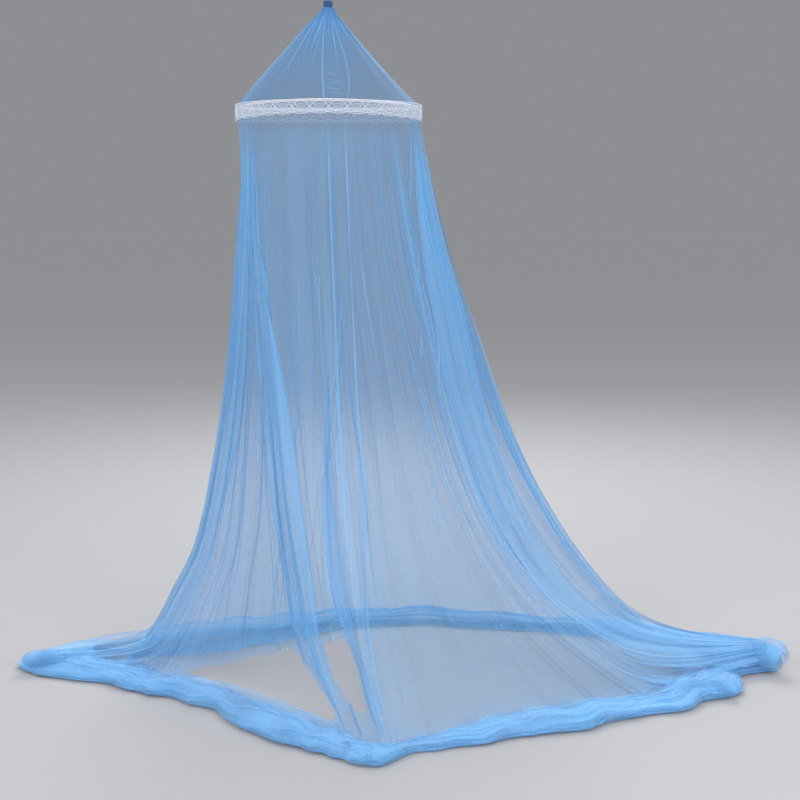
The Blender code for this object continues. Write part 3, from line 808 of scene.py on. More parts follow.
def make_skirt_wall(columns_per_fold, per_fold):
    """The hanging net from the hoop to the foot, with its folds, fine pleats and gaps."""
    columns = FOLD_COUNT * columns_per_fold
    places = np.arange(columns) / columns_per_fold
    low, high, is_open = gap_edges(places)
    heights = wall_heights(low, high)
    place = np.broadcast_to(places, heights.shape)
    points, along, outward, width = wall_frame(place, heights)
    points = points + fine_pleats(place, heights, along, outward, width, per_fold, WALL_SEED)
    gathered = np.zeros_like(heights)
    for centre in GATHER_POINTS:
        gathered = np.maximum(gathered, np.exp(-((place - centre) / GATHER_WIDTH) ** 2))
    layers = 1.0 + 0.35 * gathered * np.clip((1.6 - heights) / 0.8, 0.0, 1.0)
    layers = layers + 0.7 * np.clip(1.0 - heights / 0.07, 0.0, 1.0) ** 2
    angle = np.radians(spline("hoop", place))
    thin_foot = HOOP_HEIGHT - LACE_BELOW + saddle(angle) - THIN_FRONT * np.maximum(-np.sin(angle), 0.0)
    layers = layers * np.where(heights > thin_foot, THIN_LAYERS, 1.0)
    uv = round_map(columns, SKIRT_ROUND, np.concatenate((heights, heights[:, :1]), 1))
    quads_open = np.zeros((len(heights) - 1, columns), bool)
    quads_open[UPPER_ROWS - 1:UPPER_ROWS + GAP_ROWS - 2] = is_open & np.roll(is_open, -1)
    return sheet_mesh("skirt", points, uv, layers, True, quads_open)


def quad_middles(grid):
    """A value for each quad of a grid, from two of its corners."""
    return 0.5 * (grid[:-1, :-1] + grid[1:, 1:])


def strand_mesh(left, right, wide, layers, heights, seed, lift):
    """A pleat on the outside of the wall between two lines of places, or as wide as given about one line.

    It runs on along a tail where it meets one.
    """
    stops = [-h for h in STRAND_HEIGHTS]
    place = smooth_line(np.interp(-heights, stops, left))
    if right is None:
        wide = wide + 0.0 * place
    else:
        far = smooth_line(np.interp(-heights, stops, right))
        place, apart = 0.5 * (place + far), far - place
        wide = apart * wall_frame(place, heights)[3]
    side = side_steps(np.max(wide), STRAND_STEP, 22)
    across = len(side) - 1
    tail, kept = tail_below(place, heights)
    place, wide, heights = place[:kept], wide[:kept], heights[:kept]
    width = wall_frame(place, heights)[3]
    grid_place = place[:, None] + side[None] * (wide / width)[:, None]
    grid_height = np.broadcast_to(heights[:, None], grid_place.shape)
    points, _, outward, _ = wall_frame(grid_place, grid_height)
    shut = ~inside_gap(quad_middles(grid_place), quad_middles(grid_height))
    room = np.clip((SKIRT_TOP - grid_height) / 0.22, 0.05, 1.0)
    if tail is not None:
        run = np.linspace(0.0, 1.0, TAIL_ROWS)[1:]
        flow, more, turned = along_tail(tail, run, place[-1], wide[-1], side, points[-1], outward[-1:])
        points = np.concatenate((points, more))
        outward = np.concatenate((outward, turned))
        room = np.concatenate((room, np.ones(flow.shape)))
        shut = np.concatenate((shut, np.ones((len(run), across), bool)))
        grid_place = np.concatenate((grid_place, flow))
        grid_height = np.concatenate((grid_height, heights[-1] - 0.4 * run[:, None] + 0.0 * flow))
    dice = np.random.RandomState(seed)
    ripple = 0.0
    for rate in (7.0, 15.0, 29.0):
        ripple = ripple + dice.uniform(0.3, 1.0) * np.sin(
            side * rate + dice.uniform(0.0, FULL_TURN) + grid_height * dice.uniform(1.0, 5.0)
        )
    points = points + outward * ((lift + STRAND_RIPPLE * ripple * min(across / 3.0, 2.0)) * room)[..., None]
    count = np.arange(len(points))
    fade = np.clip(count / 8.0, 0.1, 1.0) * np.clip(count[::-1] / 6.0, 0.1, 1.0)
    edge = np.abs(side[None]) * 2.0
    rim = 0.65 + 0.75 * edge ** 4 if right is None else 0.90 + 0.30 * edge ** 8
    thick = layers * rim * (0.88 + 0.12 * ripple)
    thick = np.clip(thick, 0.1, 6.0) * fade[:, None]
    uv = np.stack((grid_place / FOLD_COUNT * SKIRT_ROUND + seed * 0.37, grid_height), -1)
    return sheet_mesh(f"strand_{seed}", points, uv, thick, False, ~shut)


def along_tail(tail, run, place, wide, side, from_points, from_outward):
    """How a pleat runs on over a tail: its places there, its points and the way out at each point.

    It starts on the tail just under from_points, its last row on the wall.
    """
    rows = TAILS[tail][4]
    spot = tail_place(place) + 0.0 * run
    apart = tail_points(tail, spot + 0.2, run)[0] - tail_points(tail, spot - 0.2, run)[0]
    size = np.linalg.norm(apart, axis=-1)
    flow = spot[:, None] + side[None] * (wide / np.maximum(size / 0.4, 0.016))[:, None]
    flow = np.clip(flow, rows[0][0], rows[-1][0])
    early = np.linspace(0.0, 0.6, 61)[:, None]
    ahead, _, _ = tail_points(tail, flow[:1] + 0.0 * early, early + 0.0 * flow[:1])
    begun = early[np.argmax(ahead[..., 2] < from_points[:, 2] - 0.002, axis=0), 0]
    more, _, _ = tail_points(tail, flow, begun + (1.0 - begun) * run[:, None])
    part = run[:, None, None]
    turned = unit(from_outward * (1.0 - part) + np.array((0.0, 0.0, 1.0)) * np.sqrt(part))
    return flow, more, turned


def tail_place(place):
    """A place counted so that it falls among the rows of the left tail, which runs past the first fold."""
    wrapped = place % FOLD_COUNT
    return wrapped + FOLD_COUNT if wrapped < 0.5 * TAILS[1][4][0][0] else wrapped


def tail_below(place, heights):
    """The tail a pleat runs into on its way down, and how many of its rows are still on the wall."""
    for number in range(3, len(heights)):
        here = tail_place(place[number])
        for tail, (*_, rows) in enumerate(TAILS):
            if rows[0][0] < here < rows[-1][0] and heights[number] < read_off(rows, here):
                return tail, number
    return None, len(heights)


def smooth_line(values):
    """A line of values with its kinks worn off."""
    kernel = np.ones(13) / 13.0
    padded = np.concatenate((np.full(6, values[0]), values, np.full(6, values[-1])))
    return np.convolve(padded, kernel, "valid")


def make_strands(fine_count):
    """The marked bands and pleats, and many fine ones that run towards the gathered corners."""
    made = []
    run = np.linspace(0.0, 1.0, 110) ** 0.92
    for number, (left, right, layers, top, low) in enumerate(BANDS):
        edges = PLACE_LINES[left], PLACE_LINES[right]
        heights = top - (top - low) * run
        made.append(strand_mesh(*edges, None, layers, heights, BAND_SEED + number, BAND_LIFT))
    for number, (line, wide, layers, top, low) in enumerate(STRANDS):
        heights = top - (top - low) * run
        made.append(strand_mesh(
            PLACE_LINES[line], None, wide, layers, heights, STRAND_SEED + number, STRAND_LIFT,
        ))
    dice = np.random.RandomState(FINE_PLEAT_SEED)
    bend = np.array((0.0, 0.05, 0.14, 0.30, 0.44, 0.60, 0.76, 0.87, 0.95, 1.0))
    for number in range(fine_count):
        start = dice.uniform(0.0, FOLD_COUNT)
        gather = min(GATHER_POINTS, key=lambda point: abs(point - start))
        pull = dice.uniform(0.1, 0.8)
        places = start + (gather - start) * pull * bend + dice.uniform(-0.10, 0.10, len(bend))
        top = STRAND_TOP if dice.uniform() < 0.25 else dice.uniform(0.8, 1.65)
        low = dice.uniform(0.04, 0.6) if dice.uniform() < 0.6 else STRAND_FOOT
        heights = top - (top - min(low, top - 0.3)) * run[::2]
        wide = dice.uniform(0.0025, 0.0060)
        made.append(strand_mesh(
            places, None, wide, dice.uniform(0.6, 1.5), heights, FINE_SEED + number, FINE_LIFT,
        ))
    return joined("skirt_pleats", made)


# hem and tails

HEM_PATH = (
    # share of the way out from foot to edge, share of the hem's height
    (-0.04, 0.34), (0.02, 0.14), (0.30, 0.02), (0.70, 0.01), (0.94, 0.05), (1.00, 0.32), (0.72, 0.47),
    (0.38, 0.50), (0.30, 0.74), (0.44, 1.00), (0.66, 1.04), (0.88, 0.86), (0.98, 0.56), (0.99, 0.30),
)


def hem_points(place, run):
    """Points of the bunched hem at places round it and shares of the way along its rolled section."""
    path = np.array(HEM_PATH)
    stops = np.linspace(0.0, 1.0, len(path))
    out_share, up_share = (np.interp(run, stops, path[:, column]) for column in (0, 1))
    around = place / FOLD_COUNT
    foot = np.stack((spline("foot_x", place), spline("foot_y", place)), -1)
    edge = np.stack((spline("edge_x", place), spline("edge_y", place)), -1)
    out = edge - foot
    reach = np.linalg.norm(out, axis=-1)
    outward = out / reach[..., None]
    reach = reach + read_off(EDGE_DETAIL, place % FOLD_COUNT) * np.clip(out_share, 0.0, 1.0)
    reach = reach - HEM_FRONT_REACH * np.minimum(outward[..., 1], 0.0)
    still = run * 0.0
    ragged = 0.005 * smooth_noise(around, still, 150, 1, 31)
    ragged = ragged + 0.003 * smooth_noise(around, still, 400, 1, 32)
    swing = np.minimum(HEM_SWAY * spline("fold", place) * HEM_WAVE, FOLD_AT_FOOT)
    swing = swing * np.cos(2.0 * np.pi * place)
    shift = out_share * reach + swing + ragged * np.clip(run * 1.6 - 0.2, 0.0, 1.0)
    roll = smooth_noise(around, run, 70, 7, 33)
    crease = 1.0 - 2.0 * np.abs(smooth_noise(around, run, 46, 16, 34))
    ropes = np.sin(2.0 * np.pi * (run * 8.0 + 0.8 * smooth_noise(around, run, 36, 3, 35)))
    fine = np.sin(2.0 * np.pi * (run * 27.0 + 1.5 * smooth_noise(around, run, 40, 4, 37)))
    tall = spline("hem_in", place) * (1.0 - out_share) + spline("hem_out", place) * out_share
    tall = tall * read_off(HEM_HEIGHTS, place % FOLD_COUNT)
    tall = tall * (1.0 + 0.25 * smooth_noise(around, still, 60, 1, 36))
    upper = np.clip((run - 0.5) / 0.2, 0.0, 1.0)
    lumps = 0.8 * roll + 0.35 * crease + 0.55 * ropes + 0.22 * fine
    bulge = upper * np.minimum(0.10 * tall, HEM_LUMP) * lumps
    level = FLOOR_LIFT + np.maximum(tall * up_share + bulge, 0.0) - HANG_HEIGHT
    shift = shift + upper * HEM_SHIFT * (ropes + roll)
    xy = foot + outward * shift[..., None]
    return np.concatenate((xy, level[..., None]), -1)


def make_hem(columns_per_fold, rows):
    """The hem, bunched and rolled on the floor all round."""
    columns = FOLD_COUNT * columns_per_fold
    place, run = grid_over(np.arange(columns) / columns_per_fold, rows)
    around = place / FOLD_COUNT
    streaks = smooth_noise(around, run, 40, 26, 38)
    patches = smooth_noise(around, run, 55, 5, 39)
    layers = read_off(HEM_LAYERS, place) * (0.85 + 0.35 * streaks + 0.30 * patches)
    layers = layers * np.clip(0.35 + 4.0 * (1.0 - run), 0.35, 1.0)
    uv = round_map(columns, SKIRT_ROUND, np.linspace(0.0, HEM_DEEP, rows)[:, None])
    return sheet_mesh("skirt_hem", hem_points(place, run), uv, np.clip(layers, 0.4, 5.0), True)


def lifted(points, lift):
    """Points of a grid moved off its surface, on the side away from the floor."""
    normal = np.cross(np.gradient(points, axis=0), np.gradient(points, axis=1))
    normal /= np.maximum(np.linalg.norm(normal, axis=-1), 1e-12)[..., None]
    normal *= np.where(normal[..., 2:] < 0.0, -1.0, 1.0)
    return points + normal * lift


def make_hem_lines(count):
    """Gathered ropes of net that wander lengthwise over the hem, fewer of them at the back."""
    made = []
    dice = np.random.RandomState(ROPE_SEED)
    for number in range(count):
        start = dice.uniform(0.0, FOLD_COUNT)
        span = dice.uniform(1.0, 4.5)
        if 25.0 < start < 30.0 and dice.uniform() < 0.6:
            continue
        steps = int(span * 22)
        place = np.linspace(start, start + span, steps)[:, None]
        middle = dice.uniform(0.50, 0.97)
        wander = dice.uniform(-0.10, 0.10) * np.linspace(-1.0, 1.0, steps)[:, None]
        wander = wander + 0.03 * np.sin(place * dice.uniform(1.0, 3.0) + dice.uniform(0.0, FULL_TURN))
        wide = dice.uniform(0.006, 0.030)
        taper = np.clip(np.minimum(np.arange(steps), np.arange(steps)[::-1]) / 10.0, 0.1, 1.0)[:, None]
        side = np.linspace(0.5, -0.5, 5)[None]
        run = np.clip(middle + wander + side * wide * taper, 0.46, 1.0)
        points = hem_points(place + 0.0 * run, run)
        points = lifted(points, (ROPE_LIFT + ROPE_SWELL * np.cos(side * np.pi) * taper)[..., None])
        layers = dice.uniform(0.7, 2.2) * (0.7 + 0.5 * np.abs(side) * 2.0) * np.clip(taper, 0.3, 1.0)
        around = place / FOLD_COUNT * SKIRT_ROUND + 0.0 * run
        uv = np.stack((around, run * HEM_DEEP + number * 0.11), -1)
        made.append(sheet_mesh(f"rope_{number}", points, uv, layers, False))
    return joined("hem_ropes", made)


def tail_points(tail, place, run):
    """The flat spread of net from the wall to one of the two far corners; run 0 is at the wall.

    It also gives each place's share of the way across the tail, and the ridges that run along it.
    """
    _, tip, half, keep, rows = TAILS[tail]
    height = read_off(rows, place)
    start, _, _, _ = wall_frame(place, height)
    lower, _, _, _ = wall_frame(place, height - 0.01)
    share = (place - rows[0][0]) / (rows[-1][0] - rows[0][0])
    heading = 1.0 if tail == 0 else -1.0
    end = np.stack((
        tip[0] + 0.0 * place,
        tip[1] + heading * half * (1.0 - 2.0 * share),
        tip[2] - HANG_HEIGHT - 0.5 * tip[2] * (2.0 * share - 1.0) ** 2,
    ), -1)
    chord = end - start
    length = np.linalg.norm(chord, axis=-1)[..., None]
    leave = unit(lower - start) * length * keep
    arrive = chord * np.array((1.0, 1.0, 0.0))
    part = np.asarray(run)[..., None]
    points = (
        start * (2.0 * part ** 3 - 3.0 * part ** 2 + 1.0) + leave * (part ** 3 - 2.0 * part ** 2 + part)
        + end * (3.0 * part ** 2 - 2.0 * part ** 3) + arrive * (part ** 3 - part ** 2)
    )
    ridges = np.sin(2.0 * np.pi * (share * 15.0 + 1.2 * smooth_noise(share * 0.5, run, 14, 4, 61 + tail)))
    ridges = ridges * (0.6 + 0.6 * smooth_noise(share * 0.5, run, 22, 5, 63 + tail))
    lift = TAIL_RIDGE * ridges * np.sin(np.pi * np.clip(run, 0.0, 1.0)) + 0.001
    above = points[..., 2] + lift + HANG_HEIGHT - TAIL_FLOOR
    above = 0.5 * (above + np.sqrt(above ** 2 + TAIL_SOFTNESS ** 2))
    points = np.stack((points[..., 0], points[..., 1], above + TAIL_FLOOR - HANG_HEIGHT), -1)
    return points, share, ridges


def make_tail(tail, columns, rows):
    """One tail's thin spread of net, and the gathered lines that run along it to its tip."""
    table = TAILS[tail][4]
    first, last = table[0][0], table[-1][0]
    place, run = grid_over(np.linspace(first, last, columns), rows)
    points, share, ridges = tail_points(tail, place, run)
    layers = 0.24 + 0.24 * ridges + 1.0 * run ** 5
    layers = layers * np.clip(6.0 * np.minimum(share, 1.0 - share), 0.4, 1.0)
    layers = layers * (np.clip(0.35 + 2.2 * (share - 0.12), 0.35, 1.3) if tail == 1 else 0.8)
    uv = np.stack((place / FOLD_COUNT * SKIRT_ROUND, run * TAIL_LONG), -1)
    made = [sheet_mesh(f"tail_{tail}", points, uv, np.clip(layers, 0.08, 4.0), False)]
    lines = [row[1:] for row in TAIL_LINES if row[0] == tail]
    dice = np.random.RandomState(TAIL_LINE_SEED + tail)
    for _ in range(TAIL_FINE_LINES):
        lines.append((dice.uniform(first, last), dice.uniform(0.003, 0.008), dice.uniform(0.5, 1.3)))
    for number, (centre, wide, thick) in enumerate(lines):
        side = side_steps(wide, STRAND_STEP, 16)[None]
        run = np.linspace(0.04, 1.0, 50)[:, None]
        sway = 0.25 * np.sin(run * dice.uniform(2.0, 5.0) + dice.uniform(0.0, FULL_TURN)) * run * (1.0 - run)
        span = wide / (0.11 * (1.0 - run) + 0.030)
        path = np.clip(centre + sway + side * span, first, last)
        points, _, _ = tail_points(tail, path, run + 0.0 * path)
        lift = TAIL_LINE_LIFT + TAIL_LINE_SWELL * np.cos(side * np.pi) + 0.0 * run
        points = lifted(points, lift[..., None])
        fade = np.clip((run - 0.04) / 0.22, 0.05, 1.0)
        layers = thick * (0.65 + 0.6 * np.abs(side) * 2.0) * fade
        uv = np.stack((path / FOLD_COUNT * SKIRT_ROUND + number, run * TAIL_LONG + 0.0 * path), -1)
        made.append(sheet_mesh(f"tail_line_{number}", points, uv, layers, False))
    return made


ROLL_TURNS = 1.75           # turns of net in a rolled end
ROLL_RIPPLE = 0.0007        # height of the ripples in it
ROLLED_ENDS = (
    # name, centre x, y and height above the floor, heading in degrees, length, inner and outer radius,
    # share of the radius left open at the end
    ("left_end", (-0.950, -0.220, 0.044), 182.0, 0.14, 0.010, 0.043, 0.0),
    ("right_end", (1.462, -0.215, 0.066), -58.0, 0.13, 0.018, 0.066, 0.50),
    ("right_low_end", (1.245, -0.445, 0.034), -35.0, 0.12, 0.010, 0.034, 0.0),
)


def make_rolled_ends():
    """Loose spiral rolls of net at the corners of the hem, each drawn in to a round end."""
    made = []
    for number, (_, centre, heading, length, inner, outer, mouth) in enumerate(ROLLED_ENDS):
        turn, along = np.meshgrid(np.linspace(0.0, ROLL_TURNS, 90), np.linspace(-0.5, 0.5, 34))
        ripple = np.sin(turn * 17.0 + along * 6.0) + 0.6 * np.sin(turn * 9.0 - along * 11.0)
        rounding = np.sqrt(np.clip(1.0 - np.clip((along - 0.12) / 0.39, 0.0, 1.0) ** 2, 0.0, 1.0))
        rounding = np.maximum(rounding, mouth)
        entry = 1.0 - 0.45 * np.clip(-along * 2.0, 0.0, 1.0) ** 2
        radius = (inner + (outer - inner) * (turn / ROLL_TURNS) + ROLL_RIPPLE * ripple) * rounding * entry
        angle = 2.0 * np.pi * turn
        over, up = radius * np.cos(angle), 0.92 * radius * np.sin(angle)
        head = np.radians(heading)
        reach = along * length
        points = np.stack((
            centre[0] + reach * np.cos(head) - over * np.sin(head),
            centre[1] + reach * np.sin(head) + over * np.cos(head),
            np.maximum(centre[2] + up, FLOOR_LIFT) - HANG_HEIGHT,
        ), -1)
        layers = 1.1 + 0.25 * ripple + 0.6 * np.clip(along * 2.0, 0.0, 1.0)
        uv = np.stack((angle * 0.03, reach + number), -1)
        made.append(sheet_mesh(f"roll_{number}", points, uv, np.clip(layers, 0.4, 3.0), False))
    return made


# crown

def crown_line(down):
    """Radius, drop and pleat depth at a share of the way down the crown."""
    table = np.array(CROWN_ROWS)
    stops = np.concatenate(([0.0], np.cumsum(np.linalg.norm(np.diff(table[:, :2], axis=0), axis=1))))
    at = down * stops[-1]
    return [np.interp(at, stops, table[:, k]) for k in range(3)]


def crown_points(angle, down, fine):
    """Points of the crown, with its main pleats, moved outward by fine."""
    radius, drop, depth = crown_line(down)
    swing = depth * np.cos(CROWN_PLEATS * angle) * PLEAT_SHARE + fine
    drawn_in = read_off(CROWN_DRAWN_IN, down) * np.maximum(np.cos(angle), 0.0) ** 2
    lift = saddle(angle) * (radius / NET_RADIUS) ** 2
    return on_circle(radius + swing - drawn_in, angle, lift - drop)


def make_crown(columns, rows):
    """The cone of net from the tape binding out to the hoop, gathered at the top and at both sides."""
    angle, down = grid_over(np.arange(columns) / columns * 2.0 * np.pi, rows)
    radius, _, _ = crown_line(down)
    share = angle / (2.0 * np.pi)
    pleats = np.sin(angle * CROWN_GATHERS + 2.2 * smooth_noise(share, down, 40, 3, 51))
    strength = 0.5 + 0.5 * smooth_noise(share, down, 96, 3, 52)
    fine = pleats * strength * np.minimum(0.05 * radius, GATHER_DEPTH)
    fine = fine * np.clip(1.2 - 2.4 * down, 0.10, 1.0)
    points = crown_points(angle, down, fine)
    gathered = np.clip(0.30 / np.maximum(radius, 0.02), 1.0, 9.0)
    degrees = np.degrees(angle)
    right = np.exp(-((degrees - 5.0) / 26.0) ** 2) + np.exp(-((degrees - 365.0) / 26.0) ** 2)
    sides = 1.5 * np.exp(-((degrees - 182.0) / 34.0) ** 2) + right
    pleated = np.clip(1.0 - 3.0 * down, 0.06, 1.0) + 0.35 * sides * down
    layers = gathered ** 0.5 * (0.85 + 0.55 * pleats * strength * pleated + 0.55 * sides * down)
    uv = round_map(columns, CROWN_ROUND, np.linspace(0.0, CROWN_DEEP, rows)[:, None])
    return sheet_mesh("crown", points, uv, np.clip(layers, 0.4, 9.0), True)


CROWN_CREASES = (
    # name, degrees at the top, degrees at the rim, degrees it bows out between, width at top and at rim,
    # down to, layers
    ("front_crease", -100.0, -90.0, 0.0, 0.003, 0.0045, 1.00, 2.2),
    ("front_right_crease", -76.0, -76.0, 6.0, 0.003, 0.0045, 1.00, 2.0),
    ("front_middle_crease", -88.0, -84.0, 0.0, 0.003, 0.004, 0.50, 1.9),
    ("left_crease", -136.0, -100.0, 0.0, 0.004, 0.006, 0.70, 1.5),
    ("far_left_crease", -134.0, -124.0, 0.0, 0.004, 0.006, 0.66, 1.1),
    ("right_crease", -44.0, -50.0, 0.0, 0.004, 0.006, 0.50, 1.1),
    ("left_side_gather", -156.0, -152.0, 0.0, 0.012, 0.034, 1.00, 1.1),
    ("left_back_gather", -170.0, -172.0, 0.0, 0.012, 0.040, 1.00, 1.8),
    ("right_side_gather", -22.0, -26.0, 0.0, 0.010, 0.026, 1.00, 0.9),
    ("right_back_gather", -6.0, -6.0, 0.0, 0.012, 0.034, 1.00, 1.5),
)
CROWN_WRINKLES = (
    # share of the way down at the left end, at the right end, degrees at the two ends, sag, layers
    (0.655, 0.700, -91.0, -82.0, 0.012, 1.2),
    (0.715, 0.770, -91.5, -77.0, 0.020, 1.4),
    (0.775, 0.835, -91.0, -76.0, 0.026, 1.3),
    (0.830, 0.850, -90.0, -80.0, 0.016, 0.9),
    (0.875, 0.905, -91.5, -77.0, 0.020, 1.5),
    (0.935, 0.950, -90.0, -75.0, 0.010, 1.2),
)


def crown_strip(angle, down, thick, number):
    """A narrow strip of net that lies on the crown."""
    lift = (CREASE_LIFT + 0.0 * angle) * np.clip((1.02 - down) / 0.1, 0.1, 1.0)
    uv = np.stack((angle * 0.3 + number, down * CROWN_DEEP), -1)
    return sheet_mesh(f"crease_{number}", crown_points(angle, down, lift), uv, thick, False)


def make_crown_creases(fine_count):
    """The marked creases, short fine ones near the top, and the cross wrinkles low at the front."""
    made = []
    dice = np.random.RandomState(CREASE_SEED)
    rows = list(CROWN_CREASES)
    for number in range(fine_count):
        turn = dice.uniform(0.0, 360.0)
        last = dice.uniform(0.16, 0.45) if number % 3 else dice.uniform(0.45, 0.95)
        rows.append((
            "fine", turn, turn + dice.uniform(-7.0, 7.0), 0.0, 0.003, dice.uniform(0.003, 0.007), last,
            dice.uniform(0.7, 1.9),
        ))
    for number, (_, top, rim, bow, narrow, wide, last, layers) in enumerate(rows):
        down = np.linspace(0.09, last, 40)[:, None]
        side = side_steps(wide, 0.004, 8)[None]
        radius, _, _ = crown_line(down)
        turn = np.radians(top + (rim - top) * down ** 0.7 + 4.0 * bow * down * (1.0 - down))
        span = (narrow + (wide - narrow) * down) / np.maximum(radius, 0.02)
        angle = turn + side * span
        fade = np.clip((last - down) / 0.30, 0.05 if last < 0.95 else 1.0, 1.0)
        ripple = 0.25 * np.sin(side * 19.0 + number)
        thick = layers * (0.6 + np.abs(side) + ripple) * fade * np.clip((down - 0.03) / 0.20, 0.3, 1.0)
        made.append(crown_strip(angle, np.broadcast_to(down, angle.shape), thick, number))
    for number, (high, low, left, right, sag, layers) in enumerate(CROWN_WRINKLES):
        run = np.linspace(0.0, 1.0, 24)[None]
        side = np.linspace(-0.5, 0.5, 4)[:, None]
        angle = np.radians(left + (right - left) * run) + 0.0 * side
        down = high + (low - high) * run + sag * 4.0 * run * (1.0 - run) + side * 0.011
        thick = layers * np.clip(3.0 * np.minimum(run, 1.0 - run), 0.1, 1.0) * (1.1 - np.abs(side))
        made.append(crown_strip(angle, down, thick, 900 + number))
    return joined("crown_creases", made)


# lace

LACE_CORDS = (
    # name, thread radius, then points as (share of one scallop, share of the band's height from the top)
    ("top_edge", 0.0015, ((0.0, 0.03), (0.25, 0.03), (0.5, 0.03), (0.75, 0.03), (1.0, 0.03))),
    ("upper_wave", 0.0014, (
        (0.0, 0.52), (0.10, 0.40), (0.22, 0.22), (0.5, 0.13), (0.78, 0.22), (0.90, 0.40), (1.0, 0.52),
    )),
    ("lower_wave", 0.0014, (
        (0.0, 0.52), (0.10, 0.64), (0.22, 0.78), (0.5, 0.86), (0.78, 0.78), (0.90, 0.64), (1.0, 0.52),
    )),
    ("arc_outer", 0.0011, ((0.20, 0.34), (0.30, 0.58), (0.5, 0.68), (0.70, 0.58), (0.80, 0.34))),
    ("arc_middle", 0.0010, ((0.31, 0.30), (0.38, 0.46), (0.5, 0.53), (0.62, 0.46), (0.69, 0.30))),
    ("arc_inner", 0.0009, ((0.41, 0.26), (0.44, 0.34), (0.5, 0.38), (0.56, 0.34), (0.59, 0.26))),
    ("top_leaf", 0.0009, ((-0.13, 0.10), (-0.06, 0.24), (0.0, 0.29), (0.06, 0.24), (0.13, 0.10))),
    ("low_leaf", 0.0009, ((-0.13, 0.90), (-0.06, 0.76), (0.0, 0.71), (0.06, 0.76), (0.13, 0.90))),
    ("low_cord", 0.0014, ((0.0, 0.93), (0.25, 0.93), (0.5, 0.93), (0.75, 0.93), (1.0, 0.93))),
    ("scallop_edge", 0.0012, (
        (0.0, 0.97), (0.12, 1.01), (0.3, 1.06), (0.5, 1.08), (0.7, 1.06), (0.88, 1.01), (1.0, 0.97),
    )),
)


def cord_tube(points, radius, segments):
    """Rings of a round thread through (turn, drop) points, wrapped on the band's cylinder."""
    table = np.array(points)
    stops = np.linspace(0.0, 1.0, len(table))
    run = np.linspace(0.0, 1.0, segments + 1)
    turn, drop = (catmull(stops, table[:, column], run) for column in (0, 1))
    angle = turn * (2.0 * np.pi / SCALLOPS)
    height = LACE_ABOVE - drop * (LACE_ABOVE + LACE_BELOW)
    middle = on_circle(LACE_RADIUS - LACE_INSET, angle, height)
    out = on_circle(1.0, angle, 0.0 * angle)
    side = unit(np.cross(unit(np.gradient(middle, axis=0)), out))
    spin = np.arange(CORD_SIDES) / CORD_SIDES * 2.0 * np.pi
    return (
        middle[:, None]
        + side[:, None] * (radius * np.cos(spin))[None, :, None]
        + out[:, None] * (0.0003 + 0.8 * radius * np.sin(spin))[None, :, None]
    )


def catmull(stops, values, at):
    """Values at places between the stops, joined smoothly, with straight ends."""
    index = np.clip(np.searchsorted(stops, at, side="right") - 1, 0, len(stops) - 2)
    part = (at - stops[index]) / (stops[index + 1] - stops[index])
    padded = np.concatenate(([2 * values[0] - values[1]], values, [2 * values[-1] - values[-2]]))
    return curved(*(padded[index + step] for step in range(4)), part)


def lace_motif():
    """The threads of one scallop of the lace, at the hoop's +X side."""
    work = bmesh.new()
    for _, radius, points in LACE_CORDS:
        rings = cord_tube(points, radius, 10 if len(points) < 6 else 14)
        made = [[work.verts.new(p) for p in ring] for ring in rings.tolist()]
        for first, second in zip(made, made[1:]):
            for k in range(CORD_SIDES):
                after = (k + 1) % CORD_SIDES
                work.faces.new((first[k], first[after], second[after], second[k]))
        work.faces.new(made[0][::-1])
        work.faces.new(made[-1])
    bmesh.ops.recalc_face_normals(work, faces=work.faces)
    mesh = bpy.data.meshes.new("lace_motif")
    work.to_mesh(mesh)
    work.free()
    mesh.polygons.foreach_set("use_smooth", [True] * len(mesh.polygons))
    return mesh


def lace_tree(thread):
    """Turns one motif round the hoop, bends the ring to the hoop's saddle, and gives it its thread.

    It also gives the values of the tree's inputs by their identifiers.
    """
    tree = bpy.data.node_groups.new("lace_ring", "GeometryNodeTree")
    face = tree.interface
    face.new_socket("Geometry", in_out="INPUT", socket_type="NodeSocketGeometry")
    values = {}
    for name, kind, value in (
        ("Scallops", "NodeSocketInt", SCALLOPS),
        ("Saddle", "NodeSocketFloat", HOOP_SADDLE),
        ("Level", "NodeSocketFloat", HOOP_HEIGHT - HANG_HEIGHT),
    ):
        values[face.new_socket(name, in_out="INPUT", socket_type=kind).identifier] = value
    face.new_socket("Geometry", in_out="OUTPUT", socket_type="NodeSocketGeometry")
    nodes = Nodes(tree)
    given = tree.nodes.new("NodeGroupInput").outputs
    motif, count, bend, level = (
        Socket(nodes, given[name]) for name in ("Geometry", "Scallops", "Saddle", "Level")
    )
    line = nodes.node("GeometryNodeMeshLine", {}, {"Count": count, "Offset": (0.0, 0.0, 0.0)})
    index = nodes.node("GeometryNodeInputIndex", {}, {})
    turn = nodes.node("ShaderNodeCombineXYZ", {}, {"Z": index * (2.0 * math.pi / count)})
    copies = {"Points": line, "Instance": motif, "Rotation": turn}
    ring = nodes.node("GeometryNodeInstanceOnPoints", {}, copies)
    ring = nodes.node("GeometryNodeRealizeInstances", {}, {"Geometry": ring})
    x, y, z = nodes.parts(nodes.node("GeometryNodeInputPosition", {}, {}))
    around = nodes.maths("ARCTAN2", y, x)
    front = nodes.maths("MAXIMUM", nodes.maths("SINE", around) * -1.0, 0.0) ** 2.0
    rise = level - nodes.maths("COSINE", around * 2.0) * bend
    rise = rise - front * (z * FRONT_SQUEEZE + FRONT_DROP)
    offset = nodes.node("ShaderNodeCombineXYZ", {}, {"Z": rise})
    ring = nodes.node("GeometryNodeSetPosition", {}, {"Geometry": ring, "Offset": offset})
    ring = nodes.node("GeometryNodeSetMaterial", {}, {"Geometry": ring, "Material": thread})
    nodes.put(tree.nodes.new("NodeGroupOutput").inputs[0], ring)
    return tree, values


